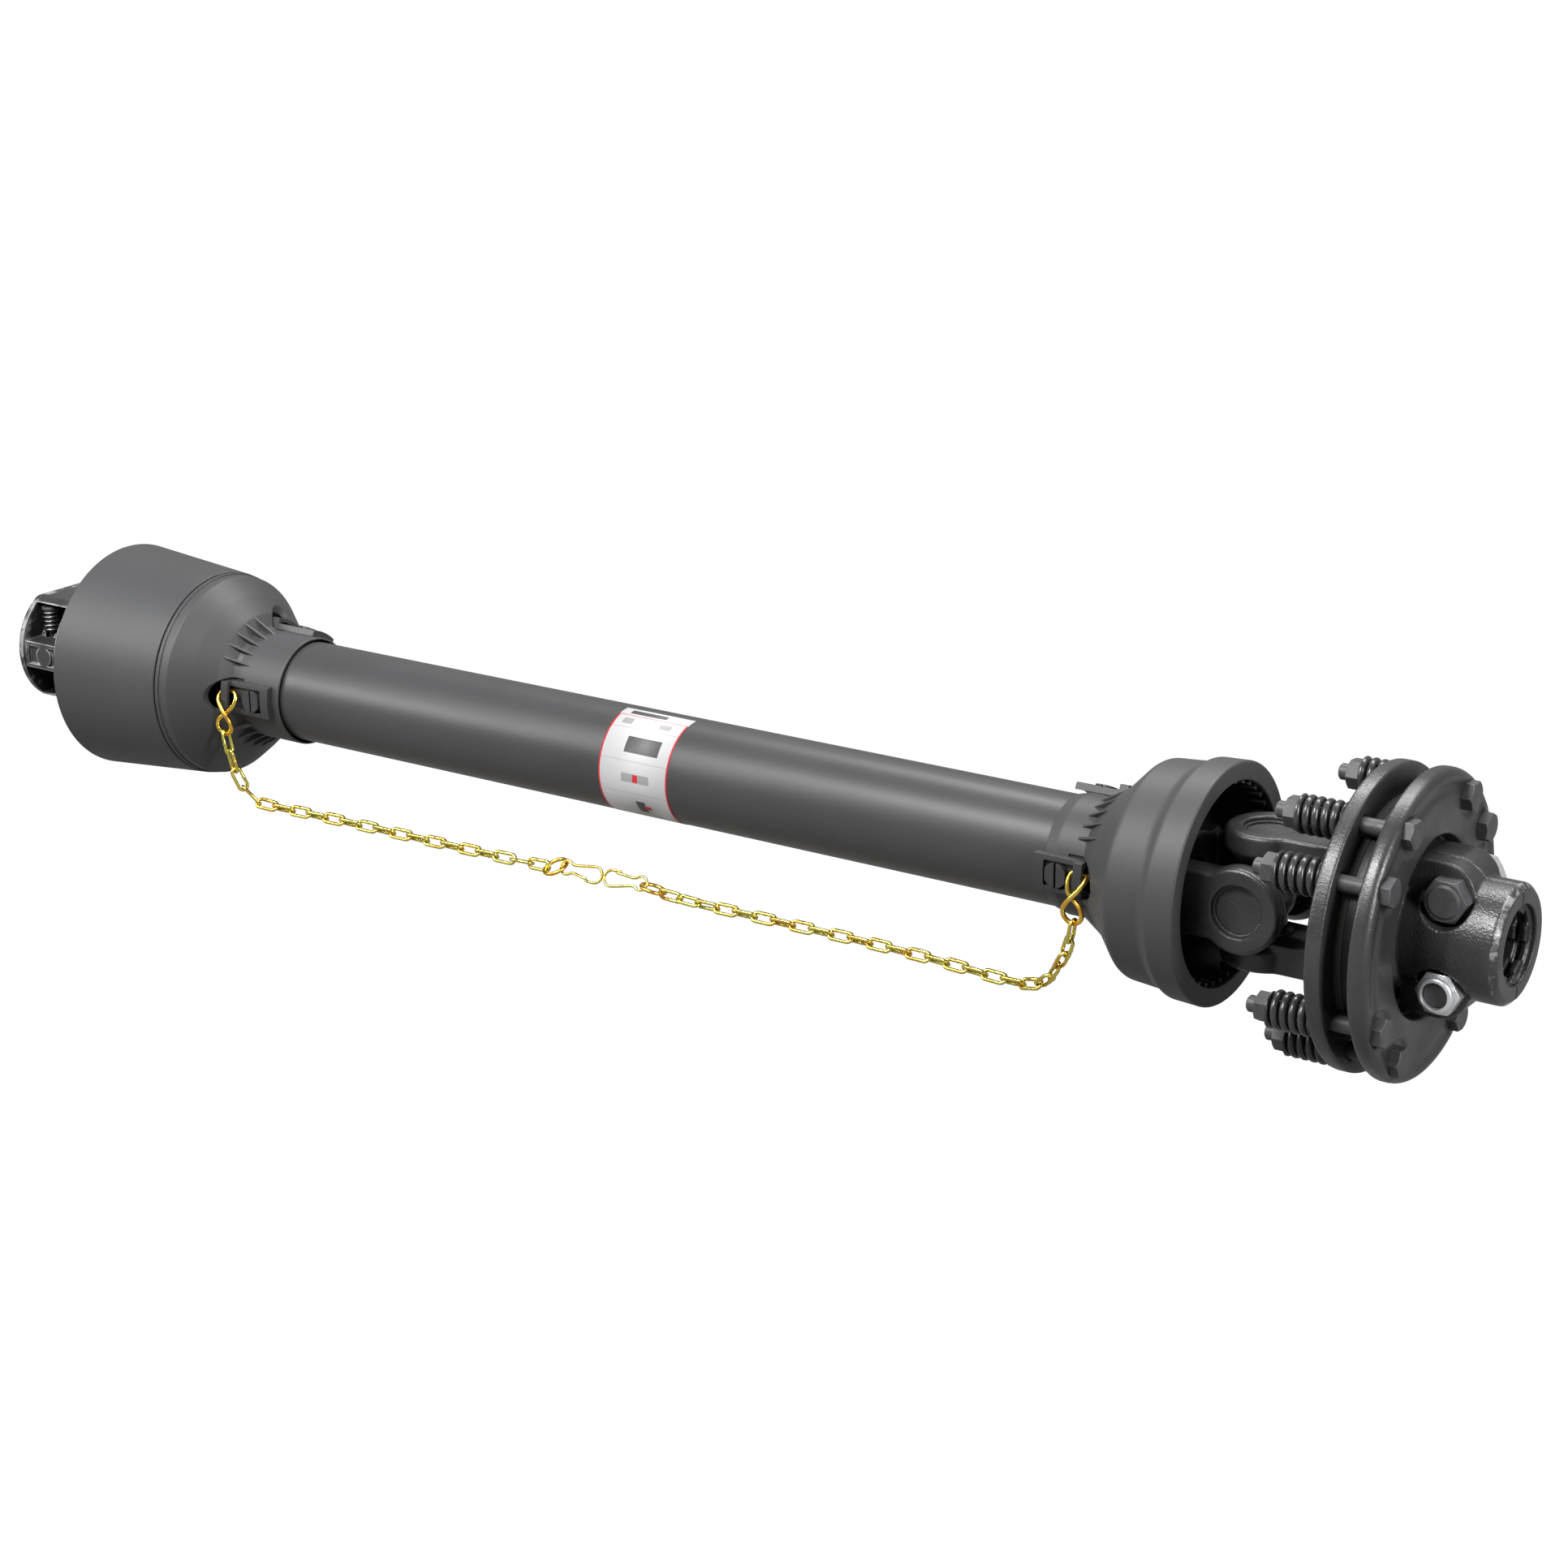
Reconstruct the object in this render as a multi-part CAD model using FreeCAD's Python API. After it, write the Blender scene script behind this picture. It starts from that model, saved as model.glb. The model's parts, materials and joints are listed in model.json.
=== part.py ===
import FreeCAD, Part
import math
import os

Vec = FreeCAD.Vector

# A telescopic PTO drive shaft, closed, with its guard, its restraint chains and a friction clutch.
# The shaft lies along +X. The origin is the mouth of the tractor yoke's splined bore, +Z is up,
# and the implement end points to +X. All sizes are in millimetres.

# Stations along the shaft
tractor_cross_x = 116.0
implement_cross_x = 992.0
travel = 330.0

# Universal joint: crosses 32 x 76, four forks of one form
cup_radius = 16.0
cup_span = 76.0
cup_length = 16.5
cup_wall_end = 2.5
needle_radius = 9.0
running_gap = 0.05
seat_gap = 0.02
trunnion_end_gap = 0.3
cross_hub_radius = 17.0
cross_arm_radius = 12.5
cross_arm_reach = 18.0
ear_inner = 23.0
ear_outer = 42.0
ear_radius = 26.5
ear_throat_radius = 21.0
ear_throat_height = 7.0
ear_edge = 1.6
fork_reach = 46.0
fork_web = 12.0
fork_web_radius = 44.0
arm_half_width = 20.0
arm_round_radius = 46.5
circlip_thickness = 1.4
circlip_depth = 1.2
circlip_width = 2.6
circlip_opening_deg = 34.0
groove_play = 0.1
nipple_radius = 3.0
nipple_length = 5.0
nipple_boss_radius = 4.8
nipple_neck_radius = 1.9

# Tractor yoke, 1 3/8 inch bore with six splines, push-pin lock
tractor_spline_major = 17.45
tractor_spline_minor = 14.8
tractor_spline_width = 8.7
collar_radius = 44.0
collar_length = 43.0
flange_thickness = 5.5
flange_round = 2.5
yoke_neck_radius = 29.0
yoke_hub_radius = 25.5
collar_flat_z = 38.2
collar_corner = 9.0
pocket_half_height = 34.5
pocket_depth_y = 12.0
frame_low_z = -11.0
frame_high_z = 8.5
frame_recess_depth = 2.0
frame_border = 3.0
boss_radius = 7.3
pin_x = 13.0
pin_y = -20.7
pin_radius = 5.0
pin_head_radius = 6.8
pin_head_thickness = 3.0
pin_top_z = 31.5
pin_foot_z = -15.0
pin_stroke = 9.0
pin_seat_z = 11.5
pin_seat_radius = 7.05
pin_neck_radius = 2.6
pin_neck_length = 8.0
pin_spring_wire = 1.1
pin_spring_turns = 5

# Telescopic profile tubes, rounded triangles in section
profile_inradius = 13.5
profile_corner = 8.0
inner_wall = 3.5
outer_wall = 4.0
profile_play = 0.35
inner_profile_start = 172.0
inner_profile_end = 800.0
outer_profile_start = 240.0
outer_profile_socket = 50.0
tractor_hub_radius = 27.0
tractor_hub_end = 222.0
implement_hub_radius = 29.5
implement_hub_start = 886.0
roll_pin_radius = 4.0
roll_pin_bore = 2.2
roll_pin_slot = 1.6
tractor_roll_pin_x = 190.0
implement_roll_pin_x = 924.0

# Guard bearings: a nylon ring in a groove of each tube yoke
bearing_width = 7.0
bearing_groove_depth = 2.5
bearing_play = 0.3
bearing_fit = 0.08
bearing_seat_radius = 36.4
tractor_bearing_x = 206.0
implement_bearing_x = 893.0

# Guard tubes
outer_tube_radius = 35.0
inner_tube_radius = 32.0
tube_wall = 2.3
outer_tube_start = 237.0
inner_tube_end = 790.0
collar_outer = 38.0
tube_play = 1.6

# Tractor guard: a bell snapped on a ribbed cone
bell_mouth_x = 74.0
bell_mouth_radius = 80.8
bell_wall = 2.6
bell_end_x = 164.0
bell_end_radius = 73.0
cone_lip_gap = 1.0
cone_lip_length = 10.0
cone_band_radius = 71.4
cone_ring_width = 2.8
cone_ring_rise = 1.0
cone_wall = 3.0
tractor_collar_start = 210.0
tractor_collar_end = 249.0
shoulder_x = 214.0
mouth_pocket_x = 233.0

# Implement guard: cone, cylinder and mouth ring in one moulding
implement_collar_start = 861.0
implement_collar_ramp = 8.0
implement_collar_end = 885.0
implement_cylinder_x = 919.0
implement_cylinder_radius = 69.0
implement_ring_x = 949.0
implement_ring_radius = 74.8
implement_mouth_x = 967.4
implement_mouth_inner = 62.9
implement_lip = 4.0
flute_count = 40
flute_height = 4.5
flute_width = 3.0
flute_length = 9.0

# Guard clips, three to each guard, and the ribs between them
clip_count = 3
clip_angle = 181.0
clip_half_width = 11.5
clip_rail = 3.2
clip_height = 4.2
clip_floor = 1.1
clip_play = 0.1
clip_button = 14.0
clip_slot = 1.4
clip_end_plate = 7.0
strap_width = 6.0
strap_thickness = 2.6
strap_rise = 8.0
tractor_strap_x = 203.0
implement_strap_x = 892.0
tractor_clip_length = 40.0
implement_clip_length = 35.0
window_radius = 12.8
window_run = 10.0
ribs_between = 5
rib_pitch_deg = 12.3
rib_thickness = 1.6
rib_rise = 10.4
rib_run = 18.3

# Chain: welded links, S hooks, rings and sprung wire hooks
chain_wire = 2.4
chain_pitch = 14.7
chain_half_width = 3.2
chain_slack = 0.9
chain_end_lift = 1.0
chain_chords = 3
chain_sides = 6
hook_wire = 3.0
hook_sides = 8
ring_radius = 8.4
ring_wire = 2.6
snap_wire = 2.0
snap_length = 35.0
snap_bulb_radius = 5.0
snap_neck = 2.6
snap_lap = 2.4
snap_end_radius = 5.8
snap_lean_deg = 25.0
chain_lift = 3.6
tractor_chain_end = 471.9
implement_chain_end = 564.6

# Clutch
plate_x = 1058.5
plate_thickness = 10.0
plate_radius = 92.0
plate_bore = 30.0
bolt_circle = 80.0
bolt_pair_half_deg = 13.5
bolt_radius = 5.0
bolt_hole_gap = 0.4
bolt_head_flats = 16.0
bolt_head_height = 6.4
bolt_end_over = 6.5
nut_height = 8.4
spring_wire = 4.5
spring_mean_radius = 9.4
spring_length = 28.0
spring_turns = 4
spring_chords = 12
spring_sides = 6
disc_thickness = 4.5
disc_radius = 73.5
disc_bore = 52.0
drive_plate_thickness = 8.0
clutch_gap = 0.2
cover_radius = 92.6
cover_bore = 54.0
cover_sheet = 5.0
cover_rim_depth = 12.0
cover_step = 4.0
cover_raise = 2.0
cover_round = 6.0
pocket_radius = 13.0

# Hub: two cast halves clamped by two cross bolts, 1 3/4 inch bore with six splines
hub_end_x = 1149.0
hub_start_x = 1071.0
hub_radius = 36.0
hub_neck_radius = 34.0
hub_chamfer = 3.5
hub_spline_major = 22.2
hub_spline_minor = 18.8
hub_spline_width = 11.2
hub_mouth_radius = 24.0
hub_mouth_depth = 4.0
hub_groove_x = 1138.0
hub_groove_width = 3.5
hub_groove_radius = 24.5
lug_start_x = 1086.0
lug_end_x = 1128.0
lug_half_height = 47.0
lug_half_width = 29.0
lug_round = 18.0
split_step = 5.0
split_gap = 0.8
split_step_start = 1118.0
split_step_end = 1128.0
hub_bolt_x = 1113.5
hub_bolt_z = 27.4
hub_bolt_radius = 8.0
hub_bolt_flats = 24.0
hub_bolt_head = 10.0
hub_nut_height = 15.5
hub_seat_y = 19.0
hub_nose_start = 1059.0
hub_key_radius = 45.0
hub_key_core = 40.5
hub_key_width = 11.0
hub_key_count = 8
hub_flange_end = 1083.0


def revolved(outline):
    """A solid of revolution about X from (x, radius) corners; a third value rounds that corner."""
    edges = []
    count = len(outline)
    ends = []
    for i, corner in enumerate(outline):
        here = Vec(corner[0], corner[1], 0)
        before = Vec(*outline[i - 1][:2], 0)
        after = Vec(*outline[(i + 1) % count][:2], 0)
        if len(corner) < 3:
            ends.append((here, here, None))
            continue
        to_before = (before - here).normalize()
        to_after = (after - here).normalize()
        half = to_before.getAngle(to_after) / 2
        reach = corner[2] / math.tan(half)
        middle = (to_before + to_after).normalize()
        bulge = here + middle * (corner[2] / math.sin(half) - corner[2])
        ends.append((here + to_before * reach, here + to_after * reach, bulge))
    for i, (first, last, bulge) in enumerate(ends):
        if bulge:
            edges.append(Part.Arc(first, bulge, last).toShape())
        following = ends[(i + 1) % count][0]
        if (following - last).Length > 1e-6:
            edges.append(Part.LineSegment(last, following).toShape())
    face = Part.Face(Part.Wire(edges))
    return face.revolve(Vec(0, 0, 0), Vec(1, 0, 0), 360)


def rod(x0, x1, radius):
    return Part.makeCylinder(radius, x1 - x0, Vec(x0, 0, 0), Vec(1, 0, 0))


def tube(x0, x1, outer, inner):
    return rod(x0, x1, outer).cut(rod(x0 - 1, x1 + 1, inner))


def box(low, high):
    return Part.makeBox(high[0] - low[0], high[1] - low[1], high[2] - low[2], Vec(*low))


def turned(shape, degrees):
    """A copy turned about the shaft axis."""
    copy = shape.copy()
    copy.rotate(Vec(0, 0, 0), Vec(1, 0, 0), degrees)
    return copy


def joined(shapes):
    result = shapes[0].fuse(shapes[1:]) if len(shapes) > 1 else shapes[0]
    return result.removeSplitter()


def to_axis(shape, axis, at):
    """Moves a shape built about Z to the Y or Z hinge axis through (at, 0, 0)."""
    copy = shape.copy()
    if axis == "Y":
        copy.rotate(Vec(0, 0, 0), Vec(1, 0, 0), 90)
    copy.translate(Vec(at, 0, 0))
    return copy


def mirrored_pair(shape):
    """A shape above the XY plane and its mirror image below it."""
    return shape, shape.mirror(Vec(0, 0, 0), Vec(0, 0, 1))


def rounded_triangle(offset):
    """The profile of the telescopic tubes, grown by an offset, as a wire across X."""
    inradius = profile_inradius + offset
    corner = profile_corner + offset
    edges = []
    tips = []
    for k in range(3):
        angle = math.radians(90 + 120 * k)
        reach = 2 * (inradius - corner)
        centre = Vec(0, reach * math.cos(angle), reach * math.sin(angle))
        arc = []
        for turn in (-60, 0, 60):
            beam = angle + math.radians(turn)
            arc.append(centre + Vec(0, corner * math.cos(beam), corner * math.sin(beam)))
        tips.append(arc)
    for k in range(3):
        edges.append(Part.Arc(*tips[k]).toShape())
        edges.append(Part.LineSegment(tips[k][2], tips[(k + 1) % 3][0]).toShape())
    return Part.Wire(edges)


def profile_bar(x0, x1, offset):
    bar = Part.Face(rounded_triangle(offset)).extrude(Vec(x1 - x0, 0, 0))
    bar.translate(Vec(x0, 0, 0))
    return bar


def spline_bore(x0, x1, minor, major, width):
    """The space inside a six-spline bore."""
    grooves = []
    for k in range(6):
        groove = box((x0, -width / 2, 0), (x1, width / 2, major)).common(rod(x0, x1, major))
        grooves.append(turned(groove, 60 * k))
    return rod(x0, x1, minor).fuse(grooves)


def hexagon(across_flats, height, chamfered_end=True):
    """A hexagonal prism on Z from 0 up, its upper corners turned off at 30 degrees."""
    corner = across_flats / math.sqrt(3)
    points = []
    for k in range(7):
        angle = math.radians(60 * k)
        points.append(Vec(corner * math.cos(angle), corner * math.sin(angle), 0))
    prism = Part.Face(Part.makePolygon(points)).extrude(Vec(0, 0, height))
    if not chamfered_end:
        return prism
    flat = across_flats / 2 * 0.97
    slope = math.tan(math.radians(30))
    drop = (corner - flat) * slope
    trim = Part.makeCylinder(corner, height - drop)
    top = Part.makeCone(corner, flat, drop, Vec(0, 0, height - drop))
    return prism.common(trim.fuse(top))


def faceted_rod(points, radius, sides, closed=False):
    """A rod of polygonal section along a path of straight runs with mitred corners."""
    count = len(points)
    runs = count if closed else count - 1
    headings = [(points[(i + 1) % count] - points[i]).normalize() for i in range(runs)]
    first = headings[0]
    side = first.cross(Vec(0.31, 0.17, 0.93)).normalize()
    if closed:
        side = first.cross(headings[1]).normalize()
    lift = first.cross(side)
    section = []
    for k in range(sides):
        angle = 2 * math.pi * (k + 0.5) / sides
        section.append(points[0] + side * (radius * math.cos(angle)) + lift * (radius * math.sin(angle)))
    rings = []
    for i in range(count):
        into = headings[(i - 1) % runs] if (closed or i > 0) else headings[0]
        out = headings[i % runs] if (closed or i < runs) else headings[-1]
        normal = (into + out).normalize()
        ring = []
        travel_along = into if i > 0 else out
        for corner in section:
            step = (points[i] - corner).dot(normal) / travel_along.dot(normal)
            ring.append(corner + travel_along * step)
        rings.append(ring)
        section = ring
    faces = []
    for i in range(runs):
        here = rings[i]
        there = rings[(i + 1) % count]
        for k in range(sides):
            m = (k + 1) % sides
            faces.append(Part.Face(Part.makePolygon([here[k], here[m], there[m], there[k], here[k]])))
    if not closed:
        for ring in (rings[0], rings[-1]):
            faces.append(Part.Face(Part.makePolygon(ring + [ring[0]])))
    solid = Part.Solid(Part.makeShell(faces))
    if solid.Volume < 0:
        solid.reverse()
    return solid


def coil(mean_radius, wire_radius, pitch, turns, chords, sides):
    """A helical spring on Z whose wire centre starts at height zero."""
    points = []
    for k in range(turns * chords + 1):
        angle = 2 * math.pi * k / chords
        points.append(Vec(mean_radius * math.cos(angle), mean_radius * math.sin(angle), pitch * k / chords))
    return faceted_rod(points, wire_radius, sides)


def ear(axis, at):
    """The two round eyes of a fork, not yet bored."""
    throat = Part.makeCone(ear_throat_radius, ear_radius, ear_throat_height, Vec(0, 0, ear_inner))
    straight_start = ear_inner + ear_throat_height
    straight = Part.makeCylinder(ear_radius, ear_outer - ear_edge - straight_start, Vec(0, 0, straight_start))
    edge = Part.makeCone(ear_radius, ear_radius - ear_edge, ear_edge, Vec(0, 0, ear_outer - ear_edge))
    eye = joined([throat, straight, edge])
    return [to_axis(part, axis, at) for part in mirrored_pair(eye)]


def fork(axis, at, side, reach, web_radius, hub_radius, web):
    """Ears, arms and the web that joins them; side is +1 where the web lies at larger x."""
    arms = []
    low = min(0, side * reach)
    high = max(0, side * reach)
    arm = box((low, -arm_half_width, ear_inner), (high, arm_half_width, ear_outer))
    arm = arm.common(rod(low - 1, high + 1, arm_round_radius))
    for part in mirrored_pair(arm):
        arms.append(to_axis(part, axis, at))
    inner_face = at + side * reach
    outer_face = inner_face + side * web
    corners = [(inner_face, 0), (inner_face, web_radius, 3), (outer_face, hub_radius), (outer_face, 0)]
    plate = revolved(corners)
    x0 = min(inner_face, outer_face)
    x1 = max(inner_face, outer_face)
    half = arm_half_width + 5
    slab = box((0, -half, -web_radius - 1), (x1 - x0, half, web_radius + 1))
    slab = to_axis(slab, axis, x0)
    return joined(ear(axis, at) + arms + [plate.common(slab), rod(x0, x1, hub_radius)])


def bored_eyes(shape, axis, at):
    """Bores the eyes for their cups and cuts the circlip grooves."""
    bore = Part.makeCylinder(cup_radius, ear_outer - ear_inner + 20, Vec(0, 0, ear_inner - 10))
    groove_height = circlip_thickness + groove_play
    groove = Part.makeCylinder(cup_radius + circlip_depth, groove_height, Vec(0, 0, cup_span / 2))
    cutter = bore.fuse(groove)
    for part in mirrored_pair(cutter):
        shape = shape.cut(to_axis(part, axis, at))
    return shape


def cups(axis, at):
    """The two bearing cups of one fork."""
    start = cup_span / 2 - cup_length
    shell = Part.makeCylinder(cup_radius - seat_gap, cup_length, Vec(0, 0, start))
    hollow = Part.makeCylinder(needle_radius, cup_length - cup_wall_end, Vec(0, 0, start))
    cup = shell.cut(hollow)
    return Part.makeCompound([to_axis(part, axis, at) for part in mirrored_pair(cup)])


def circlips(axis, at):
    """The two internal retaining rings of one fork."""
    height = cup_span / 2 + groove_play / 2
    outer = cup_radius + circlip_depth - groove_play
    ring = Part.makeCylinder(outer, circlip_thickness, Vec(0, 0, height))
    ring = ring.cut(Part.makeCylinder(outer - circlip_width, circlip_thickness, Vec(0, 0, height)))
    gap = 2 * outer * math.sin(math.radians(circlip_opening_deg / 2))
    ring = ring.cut(box((0, -gap / 2, height), (outer + 1, gap / 2, height + circlip_thickness)))
    return Part.makeCompound([to_axis(part, axis, at) for part in mirrored_pair(ring)])


def cross(at):
    """The four-armed cross, hollow forged body with turned trunnions."""
    reach = cup_span / 2 - cup_wall_end - trunnion_end_gap
    parts = [Part.makeSphere(cross_hub_radius)]
    for direction in (Vec(0, 1, 0), Vec(0, 0, 1)):
        parts.append(Part.makeCylinder(needle_radius - running_gap, 2 * reach, direction * -reach, direction))
        parts.append(Part.makeCylinder(cross_arm_radius, 2 * cross_arm_reach, direction * -cross_arm_reach, direction))
    direction, seat = nipple_place()
    parts.append(Part.makeCylinder(nipple_boss_radius, seat - seat_gap, Vec(0, 0, 0), direction))
    body = joined(parts)
    body = body.cut(nipple_seat())
    body.translate(Vec(at, 0, 0))
    return body


def nipple_place():
    """Direction and seat distance of the grease nipple, in the corner between two arms."""
    seat = cross_arm_radius * math.sqrt(2) + nipple_radius + 0.6
    return Vec(0, -1, 1).normalize(), seat


def nipple_seat():
    direction, seat = nipple_place()
    return Part.makeCylinder(nipple_neck_radius + seat_gap, 13, direction * (seat - 4), direction)


def grease_nipple(at):
    direction, seat = nipple_place()
    shank = Part.makeCylinder(nipple_neck_radius, 4 + nipple_length - 0.1, direction * (seat - 3.9), direction)
    collar = Part.makeCylinder(nipple_radius, nipple_length / 2, direction * seat, direction)
    tip = Part.makeSphere(nipple_radius * 0.85, direction * (seat + nipple_length))
    nipple = joined([shank, collar, tip])
    nipple.translate(Vec(at, 0, 0))
    return nipple


def tractor_yoke():
    """The quick-release yoke: spool-shaped collar with open pockets, neck and fork."""
    web_start = tractor_cross_x - fork_reach - fork_web
    collar = rod(0, collar_length, collar_radius)
    collar = collar.common(box((0, -collar_radius, -collar_flat_z), (collar_length, collar_radius, collar_flat_z)))
    lengthwise = [edge for edge in collar.Edges if edge.BoundBox.XLength > 1 and edge.BoundBox.YLength < 0.01
                  and abs(abs(edge.BoundBox.ZMin) - collar_flat_z) < 0.01]
    collar = collar.makeFillet(collar_corner, lengthwise)
    collar = collar.makeFillet(flange_round, [edge for edge in collar.Edges if edge.BoundBox.XLength < 0.01])
    neck = revolved([
        (collar_length - 1, 0), (collar_length - 1, yoke_hub_radius + 8), (web_start + 1, yoke_neck_radius),
        (web_start + 1, 0)])
    collar = collar.cut(collar_pockets())
    fork_part = fork("Z", tractor_cross_x, -1, fork_reach, fork_web_radius, yoke_neck_radius, fork_web)
    body = joined([collar, neck, fork_part])
    bore = spline_bore(-1, tractor_cross_x - fork_reach + 1, tractor_spline_minor, tractor_spline_major,
                       tractor_spline_width)
    body = body.cut(bore).cut(pin_hole())
    return bored_eyes(body, "Z", tractor_cross_x)


def collar_pockets():
    """The four open pockets between the flanges and the framed recess with its round boss."""
    x0 = flange_thickness
    x1 = collar_length - flange_thickness
    core = rod(0, collar_length, yoke_hub_radius)
    cutters = []
    for side in (-1, 1):
        for low, high in ((frame_high_z, pocket_half_height), (-pocket_half_height, frame_low_z)):
            ys = sorted((side * pocket_depth_y, side * (collar_radius + 1)))
            cutters.append(box((x0, ys[0], low), (x1, ys[1], high)).cut(core))
        frame_y = side * (collar_radius - 2.5)
        ys = sorted((frame_y, side * (collar_radius + 1)))
        cutters.append(box((x0, ys[0], frame_low_z - 0.1), (x1, ys[1], frame_high_z + 0.1)))
        recess_y = frame_y - side * frame_recess_depth
        ys = sorted((recess_y, frame_y))
        recess = box((x0 + frame_border, ys[0], frame_low_z + frame_border),
                     (x1 - frame_border, ys[1], frame_high_z - frame_border))
        middle = Vec((x0 + x1) / 2 + 2, ys[0] - 1, (frame_low_z + frame_high_z) / 2)
        boss = Part.makeCylinder(boss_radius, frame_recess_depth + 2, middle, Vec(0, 1, 0))
        cutters.append(recess.cut(boss))
    return joined(cutters[:1]).fuse(cutters[1:])


def pin_hole():
    """The hole of the lock pin, with the seat of its spring above."""
    start = Vec(pin_x, pin_y, -pocket_half_height)
    hole = Part.makeCylinder(pin_radius + running_gap, pocket_half_height + pin_seat_z + 1, start)
    seat = Part.makeCylinder(pin_seat_radius, pocket_half_height - pin_seat_z, Vec(pin_x, pin_y, pin_seat_z))
    return hole.fuse(seat)


def push_pin():
    """The lock pin: a round pin with a head, and a neck that frees the shaft when it is pushed in."""
    stem = Part.makeCylinder(pin_radius, pin_top_z - pin_foot_z, Vec(pin_x, pin_y, pin_foot_z))
    head = Part.makeCylinder(pin_head_radius, pin_head_thickness, Vec(pin_x, pin_y, pin_top_z - pin_head_thickness))
    head = head.makeFillet(1.0, [edge for edge in head.Edges if edge.Closed])
    neck_z = pin_stroke - pin_neck_length / 2
    sleeve = Part.makeCylinder(pin_radius + 1, pin_neck_length, Vec(pin_x, pin_y, neck_z))
    sleeve = sleeve.cut(Part.makeCylinder(pin_neck_radius, pin_neck_length, Vec(pin_x, pin_y, neck_z)))
    return joined([stem, head]).cut(sleeve)


def pin_spring():
    """The light coil under the pin's head."""
    low = pin_seat_z + pin_spring_wire / 2 + seat_gap
    high = pin_top_z - pin_head_thickness - pin_spring_wire / 2 - seat_gap
    pitch = (high - low) / pin_spring_turns
    spring = coil(pin_radius + pin_spring_wire / 2 + 0.35, pin_spring_wire / 2, pitch, pin_spring_turns, 10, 5)
    spring.translate(Vec(pin_x, pin_y, low))
    return spring


def bearing_groove(x, hub):
    return tube(x - bearing_play, x + bearing_width + bearing_play, hub + 1, hub - bearing_groove_depth)


def tractor_tube_yoke():
    """The fork pinned on the inner profile tube, with the groove of the guard bearing."""
    web_end = tractor_cross_x + fork_reach + fork_web
    body = fork("Y", tractor_cross_x, 1, fork_reach, fork_web_radius, tractor_hub_radius, fork_web)
    body = joined([body, rod(web_end - 1, tractor_hub_end, tractor_hub_radius)])
    body = body.cut(profile_bar(inner_profile_start, tractor_hub_end + 1, seat_gap))
    body = body.cut(rod(tractor_cross_x, inner_profile_start + 1, profile_inradius - inner_wall))
    body = body.cut(bearing_groove(tractor_bearing_x, tractor_hub_radius))
    body = body.cut(roll_pin_hole(tractor_roll_pin_x, tractor_hub_radius))
    return bored_eyes(body, "Y", tractor_cross_x)


def implement_tube_yoke():
    """The fork pinned on the outer profile tube."""
    web_start = implement_cross_x - fork_reach - fork_web
    body = fork("Y", implement_cross_x, -1, fork_reach, fork_web_radius, implement_hub_radius, fork_web)
    body = joined([body, rod(implement_hub_start, web_start + 1, implement_hub_radius)])
    socket_end = implement_hub_start + outer_profile_socket
    body = body.cut(profile_bar(implement_hub_start - 1, socket_end, profile_play + outer_wall + seat_gap))
    body = body.cut(rod(socket_end - 1, implement_cross_x, profile_inradius))
    body = body.cut(bearing_groove(implement_bearing_x, implement_hub_radius))
    body = body.cut(roll_pin_hole(implement_roll_pin_x, implement_hub_radius))
    return bored_eyes(body, "Y", implement_cross_x)


def roll_pin_hole(x, hub):
    return Part.makeCylinder(roll_pin_radius, 2 * hub + 2, Vec(x, -hub - 1, 0), Vec(0, 1, 0))


def roll_pin(x, hub):
    """A slotted spring pin across the tube yoke."""
    pin = Part.makeCylinder(roll_pin_radius - seat_gap, 2 * hub, Vec(x, -hub, 0), Vec(0, 1, 0))
    pin = pin.cut(Part.makeCylinder(roll_pin_bore, 2 * hub, Vec(x, -hub, 0), Vec(0, 1, 0)))
    slot = box((x, -hub, -roll_pin_slot / 2), (x + roll_pin_radius + 1, hub, roll_pin_slot / 2))
    return pin.cut(slot)


def inner_profile_tube():
    bar = profile_bar(inner_profile_start, inner_profile_end, 0)
    bar = bar.cut(profile_bar(inner_profile_start - 1, inner_profile_end + 1, -inner_wall))
    return bar.cut(roll_pin_hole(tractor_roll_pin_x, tractor_hub_radius))


def outer_profile_tube():
    end = implement_hub_start + outer_profile_socket
    bar = profile_bar(outer_profile_start, end, profile_play + outer_wall)
    bar = bar.cut(profile_bar(outer_profile_start - 1, end + 1, profile_play))
    return bar.cut(roll_pin_hole(implement_roll_pin_x, implement_hub_radius))


def bearing_ring(x, hub):
    """The split nylon ring that the guard turns on."""
    inner = hub - bearing_groove_depth + bearing_fit
    ring = tube(x, x + bearing_width, bearing_seat_radius - seat_gap, inner)
    return ring.cut(box((x - 1, -1, 0), (x + bearing_width + 1, 1, bearing_seat_radius + 1)))


def tractor_bell():
    """The deep guard bell, a thin shell that narrows towards its seam."""
    wall = bell_wall
    return revolved([
        (bell_mouth_x, bell_mouth_radius - wall), (bell_mouth_x, bell_mouth_radius, 0.8),
        (bell_end_x, bell_end_radius, 0.6), (bell_end_x, bell_end_radius - wall)])


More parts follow.
